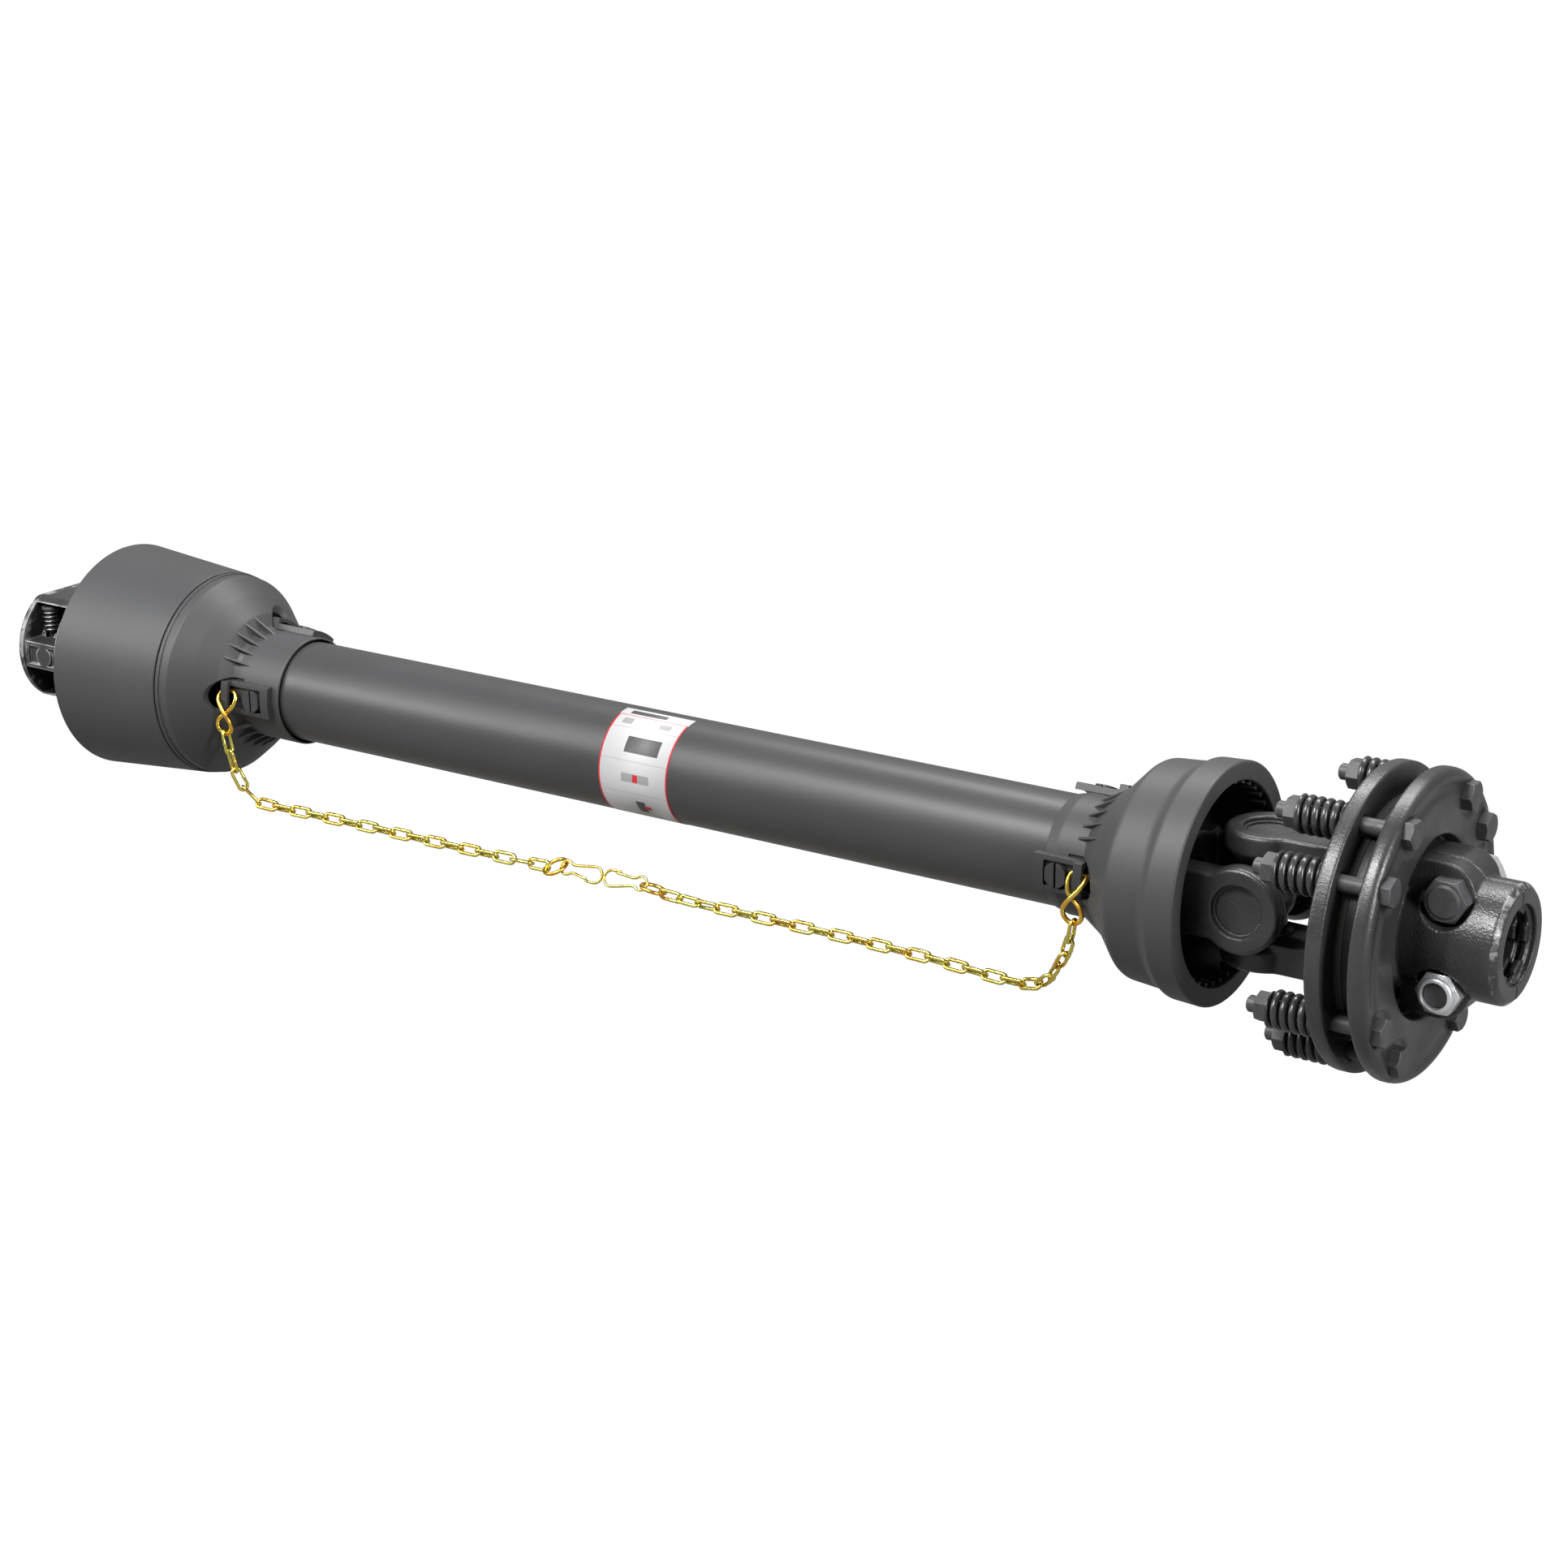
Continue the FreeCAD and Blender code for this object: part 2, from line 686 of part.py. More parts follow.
def tractor_cone():
    """The ribbed cone and collar, with the lip that the bell snaps over."""
    lip_outer = bell_end_radius - bell_wall - seat_gap
    x = bell_end_x
    ring = cone_band_radius + cone_ring_rise
    ring_end = x + cone_lip_gap + cone_ring_width
    shell = revolved([
        (x - cone_lip_length, lip_outer), (x + cone_lip_gap, lip_outer), (x + cone_lip_gap, ring, 0.4),
        (ring_end, ring, 0.4), (ring_end, cone_band_radius), (x + 10.5, cone_band_radius - 0.3, 1.5),
        (x + 25, 59.7, 30), (x + 37, 48.5, 6),
        (tractor_collar_start - 3.5, collar_outer + 1.5, 2), (tractor_collar_start, collar_outer),
        (tractor_collar_end, collar_outer, 0.8),
        (tractor_collar_end, outer_tube_radius + tube_play, 0.5), (mouth_pocket_x, outer_tube_radius + tube_play),
        (mouth_pocket_x, inner_tube_radius + seat_gap), (shoulder_x, inner_tube_radius + seat_gap),
        (shoulder_x, bearing_seat_radius), (tractor_bearing_x - 3, bearing_seat_radius),
        (x + 34.5, 45.5, 6), (x + 22, 59.7 - cone_wall, 30), (x + 8, cone_band_radius - cone_wall, 6),
        (x - cone_lip_length, lip_outer - cone_wall + 0.5)])
    for k in range(clip_count):
        shell = shell.cut(turned(window(tractor_strap_x + 4, 1), clip_angle - 90 + 360 / clip_count * k))
    return joined([shell] + ribs(tractor_collar_start + 5, 1))


def window(x, side):
    """The half-oval opening in the cone under each strap, cut from above."""
    low = collar_outer - 3
    disc = Part.makeCylinder(window_radius, 60, Vec(x, 0, low))
    xs = sorted((x, x + side * window_run))
    return disc.common(box((x - 40, -40, 0), (x + 40, 40, 100))).fuse(
        box((xs[0], -window_radius, low), (xs[1], window_radius, low + 60)))


def ribs(x, side):
    """Thin gussets between cone and collar, in fans between the clips."""
    fan = []
    for k in range(clip_count):
        middle = clip_angle - 90 + 360 / clip_count * (k + 0.5)
        for i in range(ribs_between):
            angle = middle + (i - (ribs_between - 1) / 2) * rib_pitch_deg
            points = [
                Vec(x + side * 4, -rib_thickness / 2, collar_outer - 0.4),
                Vec(x + side * (4 - rib_run), -rib_thickness / 2, collar_outer + rib_rise),
                Vec(x + side * (7 - rib_run), -rib_thickness / 2, collar_outer - 0.4)]
            face = Part.Face(Part.makePolygon(points + [points[0]]))
            fan.append(turned(face.extrude(Vec(0, rib_thickness, 0)), angle))
    return fan


def implement_cone():
    """The short guard cone with its cylinder and thick fluted mouth."""
    wall = cone_wall
    shell = revolved([
        (implement_collar_start, outer_tube_radius + seat_gap),
        (implement_collar_start, outer_tube_radius + 0.8),
        (implement_collar_start + implement_collar_ramp, collar_outer, 6),
        (implement_collar_end + 3, collar_outer, 2), (implement_collar_end + 13, 47.4, 5),
        (implement_cylinder_x - 15, 52.3, 20), (implement_cylinder_x, implement_cylinder_radius - 1, 7),
        (implement_ring_x - 6, implement_cylinder_radius + 1, 8), (implement_ring_x, implement_ring_radius - 1, 5),
        (implement_mouth_x, implement_ring_radius, 1.5), (implement_mouth_x, implement_mouth_inner, 0.8),
        (implement_mouth_x - implement_lip, implement_mouth_inner), (implement_mouth_x - implement_lip, 66.5),
        (implement_cylinder_x + 2, 66.0, 5), (implement_cylinder_x - 12, 52.3 - wall, 20),
        (implement_bearing_x + bearing_width + 2, 43), (implement_bearing_x + bearing_width + 2, bearing_seat_radius),
        (implement_collar_end - 1, bearing_seat_radius), (implement_collar_end - 1, outer_tube_radius + seat_gap)])
    flutes = []
    x1 = implement_mouth_x - implement_lip
    flute = box((x1 - flute_length, -flute_width / 2, 67 - flute_height - 2), (x1 + 0.5, flute_width / 2, 67))
    for k in range(flute_count):
        flutes.append(turned(flute, 360 / flute_count * k))
    for k in range(clip_count):
        shell = shell.cut(turned(window(implement_strap_x - 4, -1), clip_angle - 90 + 360 / clip_count * k))
    return joined([shell] + flutes + ribs(implement_collar_end, -1))


def clips(strap_x, side, clip_length):
    """The moulded clips: strap, side rails, split button and end plate, side +1 towards larger x."""
    low = collar_outer + clip_play
    top = low + clip_height
    x1 = strap_x + side * clip_length
    xs = sorted((strap_x, x1))
    width = clip_half_width
    floor_band = tube(xs[0], xs[1], low + clip_floor, low)
    rail_band = tube(xs[0], xs[1], top, low)
    column = box((xs[0], -width, 0), (xs[1], width, 100))
    base = floor_band.common(column)
    rails = rail_band.common(column)
    open_x = sorted((strap_x - side, x1 - side * clip_end_plate))
    inside = box((open_x[0], -width + clip_rail, 0), (open_x[1], width - clip_rail, 100))
    rails = rails.cut(inside)
    button_x = x1 - side * (clip_end_plate + 1.5 + clip_button / 2)
    button = Part.makeCylinder(width - clip_rail - 0.6, clip_height + 1.2, Vec(button_x, 0, low - 0.5))
    half = clip_button / 2
    button = button.common(box((button_x - half, -width, low), (button_x + half, width, low + clip_height + 1)))
    button = button.cut(box((button_x - clip_slot / 2, -width, low + clip_floor),
                            (button_x + clip_slot / 2, width, 100)))
    button = button.cut(rod(xs[0], xs[1], low))
    strap_xs = sorted((strap_x, strap_x + side * strap_width))
    strap_top = low + strap_rise
    strap = tube(strap_xs[0], strap_xs[1], strap_top, low)
    strap = strap.common(box((strap_xs[0], -width, 0), (strap_xs[1], width, 100)))
    strap_gap = box((strap_xs[0] - 1, -width + clip_rail, 0), (strap_xs[1] + 1, width - clip_rail, 100))
    strap = strap.cut(strap_gap.common(rod(strap_xs[0] - 1, strap_xs[1] + 1, strap_top - strap_thickness)))
    foot_x = strap_x + side * (strap_width + 0.5)
    base = base.cut(box((min(strap_x, foot_x) - 1, -width + clip_rail, 0), (max(strap_x, foot_x), width - clip_rail, 100)))
    clip = joined([base, rails, button, strap])
    return Part.makeCompound([turned(clip, clip_angle - 90 + 360 / clip_count * k) for k in range(clip_count)])


def inner_guard_tube():
    return tube(shoulder_x, inner_tube_end, inner_tube_radius, inner_tube_radius - tube_wall)


def outer_guard_tube():
    return tube(outer_tube_start, implement_collar_end - 1, outer_tube_radius, outer_tube_radius - tube_wall)


def arc_points(centre, radius, start_deg, end_deg, steps, u, v):
    """Points on an arc in the plane of the unit vectors u and v."""
    points = []
    for k in range(steps + 1):
        angle = math.radians(start_deg + (end_deg - start_deg) * k / steps)
        points.append(centre + u * (radius * math.cos(angle)) + v * (radius * math.sin(angle)))
    return points


def chain_link(centre, heading, normal):
    """One welded link: two straight legs and two rounded ends."""
    across = normal.cross(heading).normalize()
    half = (chain_pitch + chain_slack + chain_wire) / 2 - chain_half_width
    points = []
    points += arc_points(centre + heading * half, chain_half_width, -90, 90, chain_chords, heading, across)
    points += arc_points(centre - heading * half, chain_half_width, 90, 270, chain_chords, heading, across)
    return faceted_rod(points, chain_wire / 2, chain_sides, closed=True)


def chain_along(route, rolls):
    """Links laid along a route of straight runs; rolls gives each link's turn, the last two repeating."""
    lengths = [(route[k + 1] - route[k]).Length for k in range(len(route) - 1)]
    total = sum(lengths)
    count = math.ceil(total / chain_pitch)
    joints = []
    for i in range(count + 1):
        left = total * i / count
        k = 0
        while k < len(lengths) - 1 and left > lengths[k]:
            left -= lengths[k]
            k += 1
        joints.append(route[k] + (route[k + 1] - route[k]) * (left / lengths[k]))
    links = []
    for i in range(count):
        heading = (joints[i + 1] - joints[i]).normalize()
        side = (Vec(0, 1, 0) - heading * heading.y).normalize()
        lift = side.cross(heading).normalize()
        roll = rolls[i] if i < len(rolls) else rolls[-2 + (i - len(rolls)) % 2]
        closing = max(0, 3 - (count - 1 - i)) * 12
        last_turn = 1 if (rolls[-2 + (count - 1 - len(rolls)) % 2] % 180) > 90 else -1
        roll = math.radians(roll + closing * last_turn)
        normal = side * math.cos(roll) + lift * math.sin(roll)
        links.append(chain_link((joints[i] + joints[i + 1]) * 0.5, heading, normal))
    return links


def floor_z(x):
    """Height of the ground under the shaft, which touches the bell's mouth and the clutch cover."""
    bell_x = bell_mouth_x + 1
    cover_x = stack()[3] + cover_sheet
    low = -bell_mouth_radius
    return low + (-cover_radius - low) * (x - bell_x) / (cover_x - bell_x)


def on_ground(x, y):
    return Vec(x, y, floor_z(x) + chain_lift)


def end_joint(x, y):
    """The last joint of a chain half, where an upright link lifts it a little."""
    return on_ground(x, y) + Vec(0, 0, chain_end_lift)


def s_hook(strap_x, side, spread):
    """A figure-eight wire hook; its upper loop passes behind the strap of a clip."""
    straight = strap_width + 2
    front = collar_outer + clip_play + strap_rise
    turns = [
        (0.6, -5.0, 3.2), (-1.7, -4.3, 3.0), (-2.6, -1.9, 1.4), (-2.0, 0.8, -1.2), (-0.2, 2.1, -4.5),
        (3.0, 3.1, -8.2), (6.3, 3.8, -11.5), (9.4, 3.2, -15.2), (10.7, 2.2, -19.4), (10.1, 1.4, -23.2),
        (7.2, 1.0, -26.0), (3.9, 0.9, -26.9), (0.8, 1.0, -26.0), (-2.0, 1.7, -23.4), (-2.7, 2.1, -19.8),
        (-1.4, 2.0, -16.2), (1.2, 1.2, -13.8), (4.5, 0.5, -11.6), (8.3, 0.4, -8.6), (11.4, -0.4, -4.9),
        (12.6, -2.0, -0.8), (11.1, -4.0, 2.6), (7.6, -5.0, 3.6), (3.6, -5.0, 3.6)]
    points = []
    for dx, dy, dz in turns:
        reach = dx if dx < straight or dz < -9 else straight + (dx - straight) * spread
        points.append(Vec(strap_x + side * reach, -front - dy, dz))
    return faceted_rod(points, hook_wire / 2, hook_sides)


def hook_eye(strap_x, side, toward):
    """Where the first link hangs in an S hook, set back along the link's heading."""
    front = collar_outer + clip_play + strap_rise
    bend = Vec(strap_x + side * 3.9, -front - 0.9, -26.9)
    heading = (bend + toward - bend).normalize()
    back = (hook_wire + chain_wire) / 2 + 0.35 - (chain_slack + chain_wire) / 2
    return bend - heading * back, bend


def tractor_chain_route():
    first = Vec(1.8, 1.4, -14)
    eye, bend = hook_eye(tractor_strap_x, 1, first)
    return [
        eye, bend + first, bend + Vec(3.4, 4.4, -29.0), bend + Vec(7.6, 8.6, -42.0), bend + Vec(16.5, 12.6, -51.5),
        on_ground(232, -33.6), on_ground(252, -31.8), on_ground(300, -28.6), on_ground(346, -26.5), on_ground(420, -23.3),
        on_ground(tractor_chain_end - 30, -22), end_joint(tractor_chain_end, -21.5)]


def implement_chain_route():
    first = Vec(-4.0, 4.0, -14.0)
    eye, bend = hook_eye(implement_strap_x, -1, first)
    return [
        eye, bend + first, bend + Vec(-12, 11, -29), bend + Vec(-24, 19, -44.5), bend + Vec(-36, 25, -55),
        on_ground(835, -18.5),
        on_ground(763, -13.5), on_ground(716, -13.5), on_ground(618, -17.4),
        on_ground(implement_chain_end + 30, -18.6), end_joint(implement_chain_end, -19.2)]


def chain_rings():
    """Centre, normal and the point towards the hook for both end rings."""
    rings = []
    for end, y, side, normal in (
            (tractor_chain_end, -21.5, 1, Vec(-0.2, -0.36, 0.91)),
            (implement_chain_end, -19.2, -1, Vec(0.2, 0.2, 0.96))):
        normal = normal.normalize()
        along = Vec(side, 0, 0)
        reach = (along - normal * along.dot(normal)).normalize()
        back = (chain_wire + ring_wire) / 2 + 0.35 - (chain_slack + chain_wire) / 2
        centre = end_joint(end, y) - along * back + reach * ring_radius
        low = math.sqrt(1 - normal.z ** 2) * ring_radius + ring_wire / 2
        short = floor_z(centre.x) + low + 0.1 - centre.z
        centre = centre + Vec(0, 0, max(0, short))
        rings.append((centre, normal, centre + reach * ring_radius))
    return rings


def chain_ring(centre, normal):
    across = normal.cross(Vec(0.3, 0.9, 0.1)).normalize()
    points = arc_points(centre, ring_radius, 0, 345, 23, across, normal.cross(across))
    return faceted_rod(points, ring_wire / 2, hook_sides, closed=True)


def snap_hook(at, along, normal):
    """A sprung wire hook, bulb at the ring and rounded end with lapped tips."""
    across = normal.cross(along).normalize()
    end_u = snap_length - snap_bulb_radius - snap_end_radius - snap_wire
    bulb_turn = math.degrees(math.asin(snap_neck / snap_bulb_radius))
    flat = [(end_u * 0.86, -snap_end_radius * 0.72, snap_lap), (end_u * 0.62, -snap_end_radius * 0.66, snap_lap)]
    flat.append((snap_bulb_radius + 2.2, -snap_neck, 0))
    for k in range(9):
        angle = math.radians(-bulb_turn - (360 - 2 * bulb_turn) * k / 8)
        flat.append((snap_bulb_radius * math.cos(angle), snap_bulb_radius * math.sin(angle), 0))
    flat.append((snap_bulb_radius + 2.2, snap_neck, 0))
    for k in range(7):
        angle = math.radians(90 - 180 * k / 6)
        flat.append((end_u + snap_end_radius * math.cos(angle), snap_end_radius * math.sin(angle), 0))
    flat.append((end_u * 0.66, -snap_end_radius * 0.92, 0))
    points = [at + along * u + across * v + normal * w for u, v, w in flat]
    return faceted_rod(points, snap_wire / 2, chain_sides)


def snap_hooks():
    """Both hooks, leaning back and laid against each other."""
    lean = math.radians(snap_lean_deg)
    normal = Vec(0, -math.cos(lean), math.sin(lean))
    rings = chain_rings()
    half_height = (snap_end_radius + snap_wire / 2) * math.cos(lean)
    bulb_height = (snap_bulb_radius + snap_wire / 2) * math.cos(lean)
    hooks = []
    meeting = (rings[0][2] + rings[1][2]) * 0.5
    for (centre, tilt, edge), side, shift in ((rings[0], 1, 0), (rings[1], -1, snap_lap)):
        bulb = edge + Vec(side * (snap_bulb_radius - snap_wire / 2 - ring_wire / 2 - 0.9), 0, 0)
        bulb.z = max(bulb.z, floor_z(bulb.x) + bulb_height + 0.1)
        bulb = bulb + normal * shift * 0.3
        goal = Vec(meeting.x, meeting.y, floor_z(meeting.x) + half_height + 0.3) + normal * shift
        along = (goal - bulb).normalize()
        upright = (normal - along * normal.dot(along)).normalize()
        hooks.append(snap_hook(bulb, along, upright))
    return hooks


def to_x(shape, at, toward=1):
    """Moves a shape built upward on Z to lie along X from the point at."""
    copy = shape.copy()
    copy.rotate(Vec(0, 0, 0), Vec(0, 1, 0), 90 * toward)
    copy.translate(at)
    return copy


def bolt_angles():
    angles = []
    for quarter in range(4):
        for half in (-1, 1):
            angles.append(45 + 90 * quarter + half * bolt_pair_half_deg)
    return angles


def round_bolt_circle(shape):
    return [turned(shape, angle) for angle in bolt_angles()]


def stack():
    """The faces of the clutch pack: inner disc, drive plate, outer disc, cover."""
    inner = plate_x + plate_thickness + seat_gap
    drive = inner + disc_thickness + clutch_gap
    outer = drive + drive_plate_thickness + clutch_gap
    cover = outer + disc_thickness + seat_gap
    return inner, drive, outer, cover


def bolt_seat():
    """The face of the cover under the bolt heads."""
    return stack()[3] + cover_sheet + cover_step


def bolt_holes(x0, x1):
    hole = Part.makeCylinder(bolt_radius + bolt_hole_gap, x1 - x0, Vec(x0, 0, bolt_circle), Vec(1, 0, 0))
    return round_bolt_circle(hole)


def clutch_yoke():
    """Fork and round plate in one piece."""
    arm = box((0, -arm_half_width, ear_inner), (plate_x - implement_cross_x + 1, arm_half_width, ear_outer))
    arm = arm.common(rod(-1, plate_x, arm_round_radius))
    arms = [to_axis(part, "Z", implement_cross_x) for part in mirrored_pair(arm)]
    x1 = plate_x + plate_thickness
    plate = revolved([
        (plate_x, plate_bore), (plate_x, plate_radius, 1.2), (x1, plate_radius, 1.2), (x1, plate_bore)])
    foot = revolved([(plate_x - 8, 38), (plate_x - 8, 40, 2), (plate_x, 50), (plate_x + 1, 50), (plate_x + 1, 38)])
    foot = foot.common(box((0, -arm_half_width - 4, -60), (2000, arm_half_width + 4, 60)))
    body = joined(ear("Z", implement_cross_x) + arms + [plate, foot])
    body = body.cut(bolt_holes(plate_x - 1, x1 + 1)).cut(rod(plate_x, x1 + 1, plate_bore))
    return bored_eyes(body, "Z", implement_cross_x)


def friction_disc(x):
    return tube(x, x + disc_thickness, disc_radius, disc_bore)


def hub_keys(grow):
    keys = []
    half = hub_key_width / 2 + grow
    for k in range(hub_key_count):
        key = box((hub_start_x, -half, 0), (hub_flange_end, half, hub_key_radius + grow))
        key = key.common(rod(hub_start_x, hub_flange_end, hub_key_radius + grow))
        keys.append(turned(key, 360 / hub_key_count * (k + 0.5)))
    return keys


def drive_plate():
    drive = stack()[1]
    plate = rod(drive, drive + drive_plate_thickness, disc_radius)
    plate = plate.cut(rod(drive - 1, drive + drive_plate_thickness + 1, hub_key_core + 0.1))
    return plate.cut(hub_keys(0.1))


def pressure_cover():
    """The pressed cover: flat ring on the disc, raised ring with pockets, groove and rolled rim."""
    face = stack()[3]
    seat = bolt_seat()
    top = seat + cover_raise
    rim_low = top - cover_rim_depth
    groove = cover_radius - 10
    shell = revolved([
        (face, cover_bore), (top, cover_bore, 2.5), (top, bolt_circle - 3, 3), (seat + 0.2, bolt_circle, 2),
        (seat + 0.2, groove, 3), (top - 0.3, groove + 3, 2), (top - 0.3, cover_radius, cover_round),
        (rim_low, cover_radius, 1.5), (rim_low, cover_radius - 4.5, 1.5), (seat - 1.5, cover_radius - 5, 2),
        (seat - cover_sheet + 1.2, groove, 2), (seat - cover_sheet + 1.2, disc_radius + 2),
        (face, disc_radius + 0.8)])
    pocket = Part.makeCylinder(pocket_radius, cover_raise + 1, Vec(seat, 0, bolt_circle), Vec(1, 0, 0))
    reach = rod(seat, top + 1, bolt_circle + 5)
    spot = Part.makeCylinder(bolt_head_flats * 0.62, cover_raise + 1, Vec(seat - 0.05, 0, bolt_circle), Vec(1, 0, 0))
    shell = shell.cut([part.common(reach) for part in round_bolt_circle(pocket)])
    shell = shell.cut(bolt_holes(face - 1, top + 1))
    return shell.cut(round_bolt_circle(spot))


def clutch_bolts():
    seat = bolt_seat() + seat_gap
    tip = plate_x - spring_length - nut_height - bolt_end_over
    shank = Part.makeCylinder(bolt_radius, seat - tip, Vec(tip, 0, bolt_circle), Vec(1, 0, 0))
    shank = shank.makeChamfer(1, [shank.Edges[k] for k in edges_at(shank, tip)])
    head = to_x(hexagon(bolt_head_flats, bolt_head_height), Vec(seat, 0, bolt_circle))
    return Part.makeCompound(round_bolt_circle(joined([shank, head])))


def edges_at(shape, x):
    """Indexes of the round edges that lie in one plane across X."""
    found = []
    for k, edge in enumerate(shape.Edges):
        if edge.Closed and abs(edge.BoundBox.XMin - x) < 1e-6 and abs(edge.BoundBox.XMax - x) < 1e-6:
            found.append(k)
    return found


def clutch_nuts():
    x1 = plate_x - spring_length
    nut = hexagon(bolt_head_flats + 0.6, nut_height)
    nut = to_x(nut, Vec(x1, 0, bolt_circle), -1)
    hole = Part.makeCylinder(bolt_radius + seat_gap, 60, Vec(x1 - 30, 0, bolt_circle), Vec(1, 0, 0))
    return Part.makeCompound(round_bolt_circle(nut.cut(hole)))


def clutch_springs():
    free = spring_length - spring_wire - 2 * seat_gap
    spring = coil(spring_mean_radius, spring_wire / 2, free / spring_turns, spring_turns, spring_chords, spring_sides)
    spring = to_x(spring, Vec(plate_x - spring_length + spring_wire / 2 + seat_gap, 0, bolt_circle))
    return Part.makeCompound(round_bolt_circle(spring))


def hub_body():
    """Both hub halves before they are split."""
    inner = stack()[0] + disc_thickness
    core = revolved([
        (hub_nose_start, 0), (hub_nose_start, plate_bore - running_gap, 1), (hub_start_x, plate_bore - running_gap),
        (hub_start_x, hub_key_core), (hub_flange_end, hub_key_core), (hub_flange_end + 5, hub_neck_radius, 3),
        (lug_start_x + 12, hub_neck_radius, 20), (lug_end_x - 8, hub_radius, 10), (hub_end_x - hub_chamfer, hub_radius),
        (hub_end_x, hub_radius - hub_chamfer), (hub_end_x, 0)])
    high = lug_half_height
    square = box((lug_start_x, -hub_seat_y, -high), (lug_end_x - lug_round, hub_seat_y, high))
    flat = box((lug_start_x, -hub_seat_y, -high + lug_round), (lug_end_x, hub_seat_y, high - lug_round))
    corners = []
    for z in (-1, 1):
        middle = Vec(lug_end_x - lug_round, -hub_seat_y, z * (high - lug_round))
        corners.append(Part.makeCylinder(lug_round, 2 * hub_seat_y, middle, Vec(0, 1, 0)))
    lug = joined([square, flat] + corners)
    lug = lug.common(rod(lug_start_x, lug_end_x, cover_bore - 3.5))
    body = joined([core, lug] + hub_keys(0))
    for z in (-hub_bolt_z, hub_bolt_z):
        start = Vec(hub_bolt_x, -hub_radius - 20, z)
        body = body.cut(Part.makeCylinder(hub_bolt_radius + 0.3, 2 * hub_radius + 40, start, Vec(0, 1, 0)))
        for side in (-1, 1):
            seat = Part.makeCylinder(hub_bolt_flats / 2 + 3.4, 30, Vec(hub_bolt_x, side * hub_seat_y, z), Vec(0, side, 0))
            body = body.cut(seat)
    bore = spline_bore(hub_nose_start - 1, hub_end_x + 1, hub_spline_minor, hub_spline_major, hub_spline_width)
    mouth = rod(hub_end_x - hub_mouth_depth, hub_end_x + 1, hub_mouth_radius)
    groove = rod(hub_groove_x, hub_groove_x + hub_groove_width, hub_groove_radius)
    return body.cut(bore).cut(mouth).cut(groove)


def split_region(shift, side):
    """The space in front of or behind the stepped joint between the hub halves."""
    x0 = hub_nose_start - 5
    x1 = hub_end_x + 5
    far = side * (hub_radius + 30)
    halves = []
    for step, low, high in ((-split_step, 0, 80), (split_step, -80, 0)):
        outline = [
            Vec(x0, far, low), Vec(x0, step + shift, low), Vec(split_step_start, step + shift, low),
            Vec(split_step_end, shift, low), Vec(x1, shift, low), Vec(x1, far, low), Vec(x0, far, low)]
        halves.append(Part.Face(Part.makePolygon(outline)).extrude(Vec(0, 0, high - low)))
    return halves[0].fuse(halves[1])


def hub_halves():
    body = hub_body()
    front = body.common(split_region(-split_gap / 2, -1))
    rear = body.common(split_region(split_gap / 2, 1))
    return front, rear


def hub_bolts():
    bolts = []
    for z, side in ((hub_bolt_z, -1), (-hub_bolt_z, 1)):
        head = hexagon(hub_bolt_flats, hub_bolt_head)
        cap = Part.makeCone(hub_bolt_flats / 2 - 1.6, hub_bolt_flats / 2 - 3.2, 1.1, Vec(0, 0, hub_bolt_head))
        shank_length = 2 * hub_seat_y + hub_nut_height - 2.5
        shank = Part.makeCylinder(hub_bolt_radius, shank_length + 1, Vec(0, 0, -shank_length))
        shank = shank.makeChamfer(1.2, [edge for edge in shank.Edges if edge.Closed and edge.BoundBox.ZMax < 0])
        bolt = joined([head, cap, shank])
        bolt.rotate(Vec(0, 0, 0), Vec(1, 0, 0), -90 * side)
        bolt.translate(Vec(hub_bolt_x, side * (hub_seat_y + seat_gap), z))
        bolts.append(bolt)
    return Part.makeCompound(bolts)


def hub_nuts():
    """Self-locking nuts, a hexagon with a round crimped collar."""
    nuts = []
    for z, side in ((hub_bolt_z, 1), (-hub_bolt_z, -1)):
        hexagonal = hexagon(hub_bolt_flats, hub_nut_height - 4)
        collar = Part.makeCylinder(hub_bolt_flats / 2 - 1.2, hub_nut_height)
        collar = collar.makeFillet(2.2, [edge for edge in collar.Edges if edge.Closed and edge.BoundBox.ZMin > 1])
        nut = joined([hexagonal, collar])
        nut = nut.cut(Part.makeCylinder(hub_bolt_radius + seat_gap, hub_nut_height + 1))
        nut.rotate(Vec(0, 0, 0), Vec(1, 0, 0), -90 * side)
        nut.translate(Vec(hub_bolt_x, side * (hub_seat_y + seat_gap), z))
        nuts.append(nut)
    return Part.makeCompound(nuts)


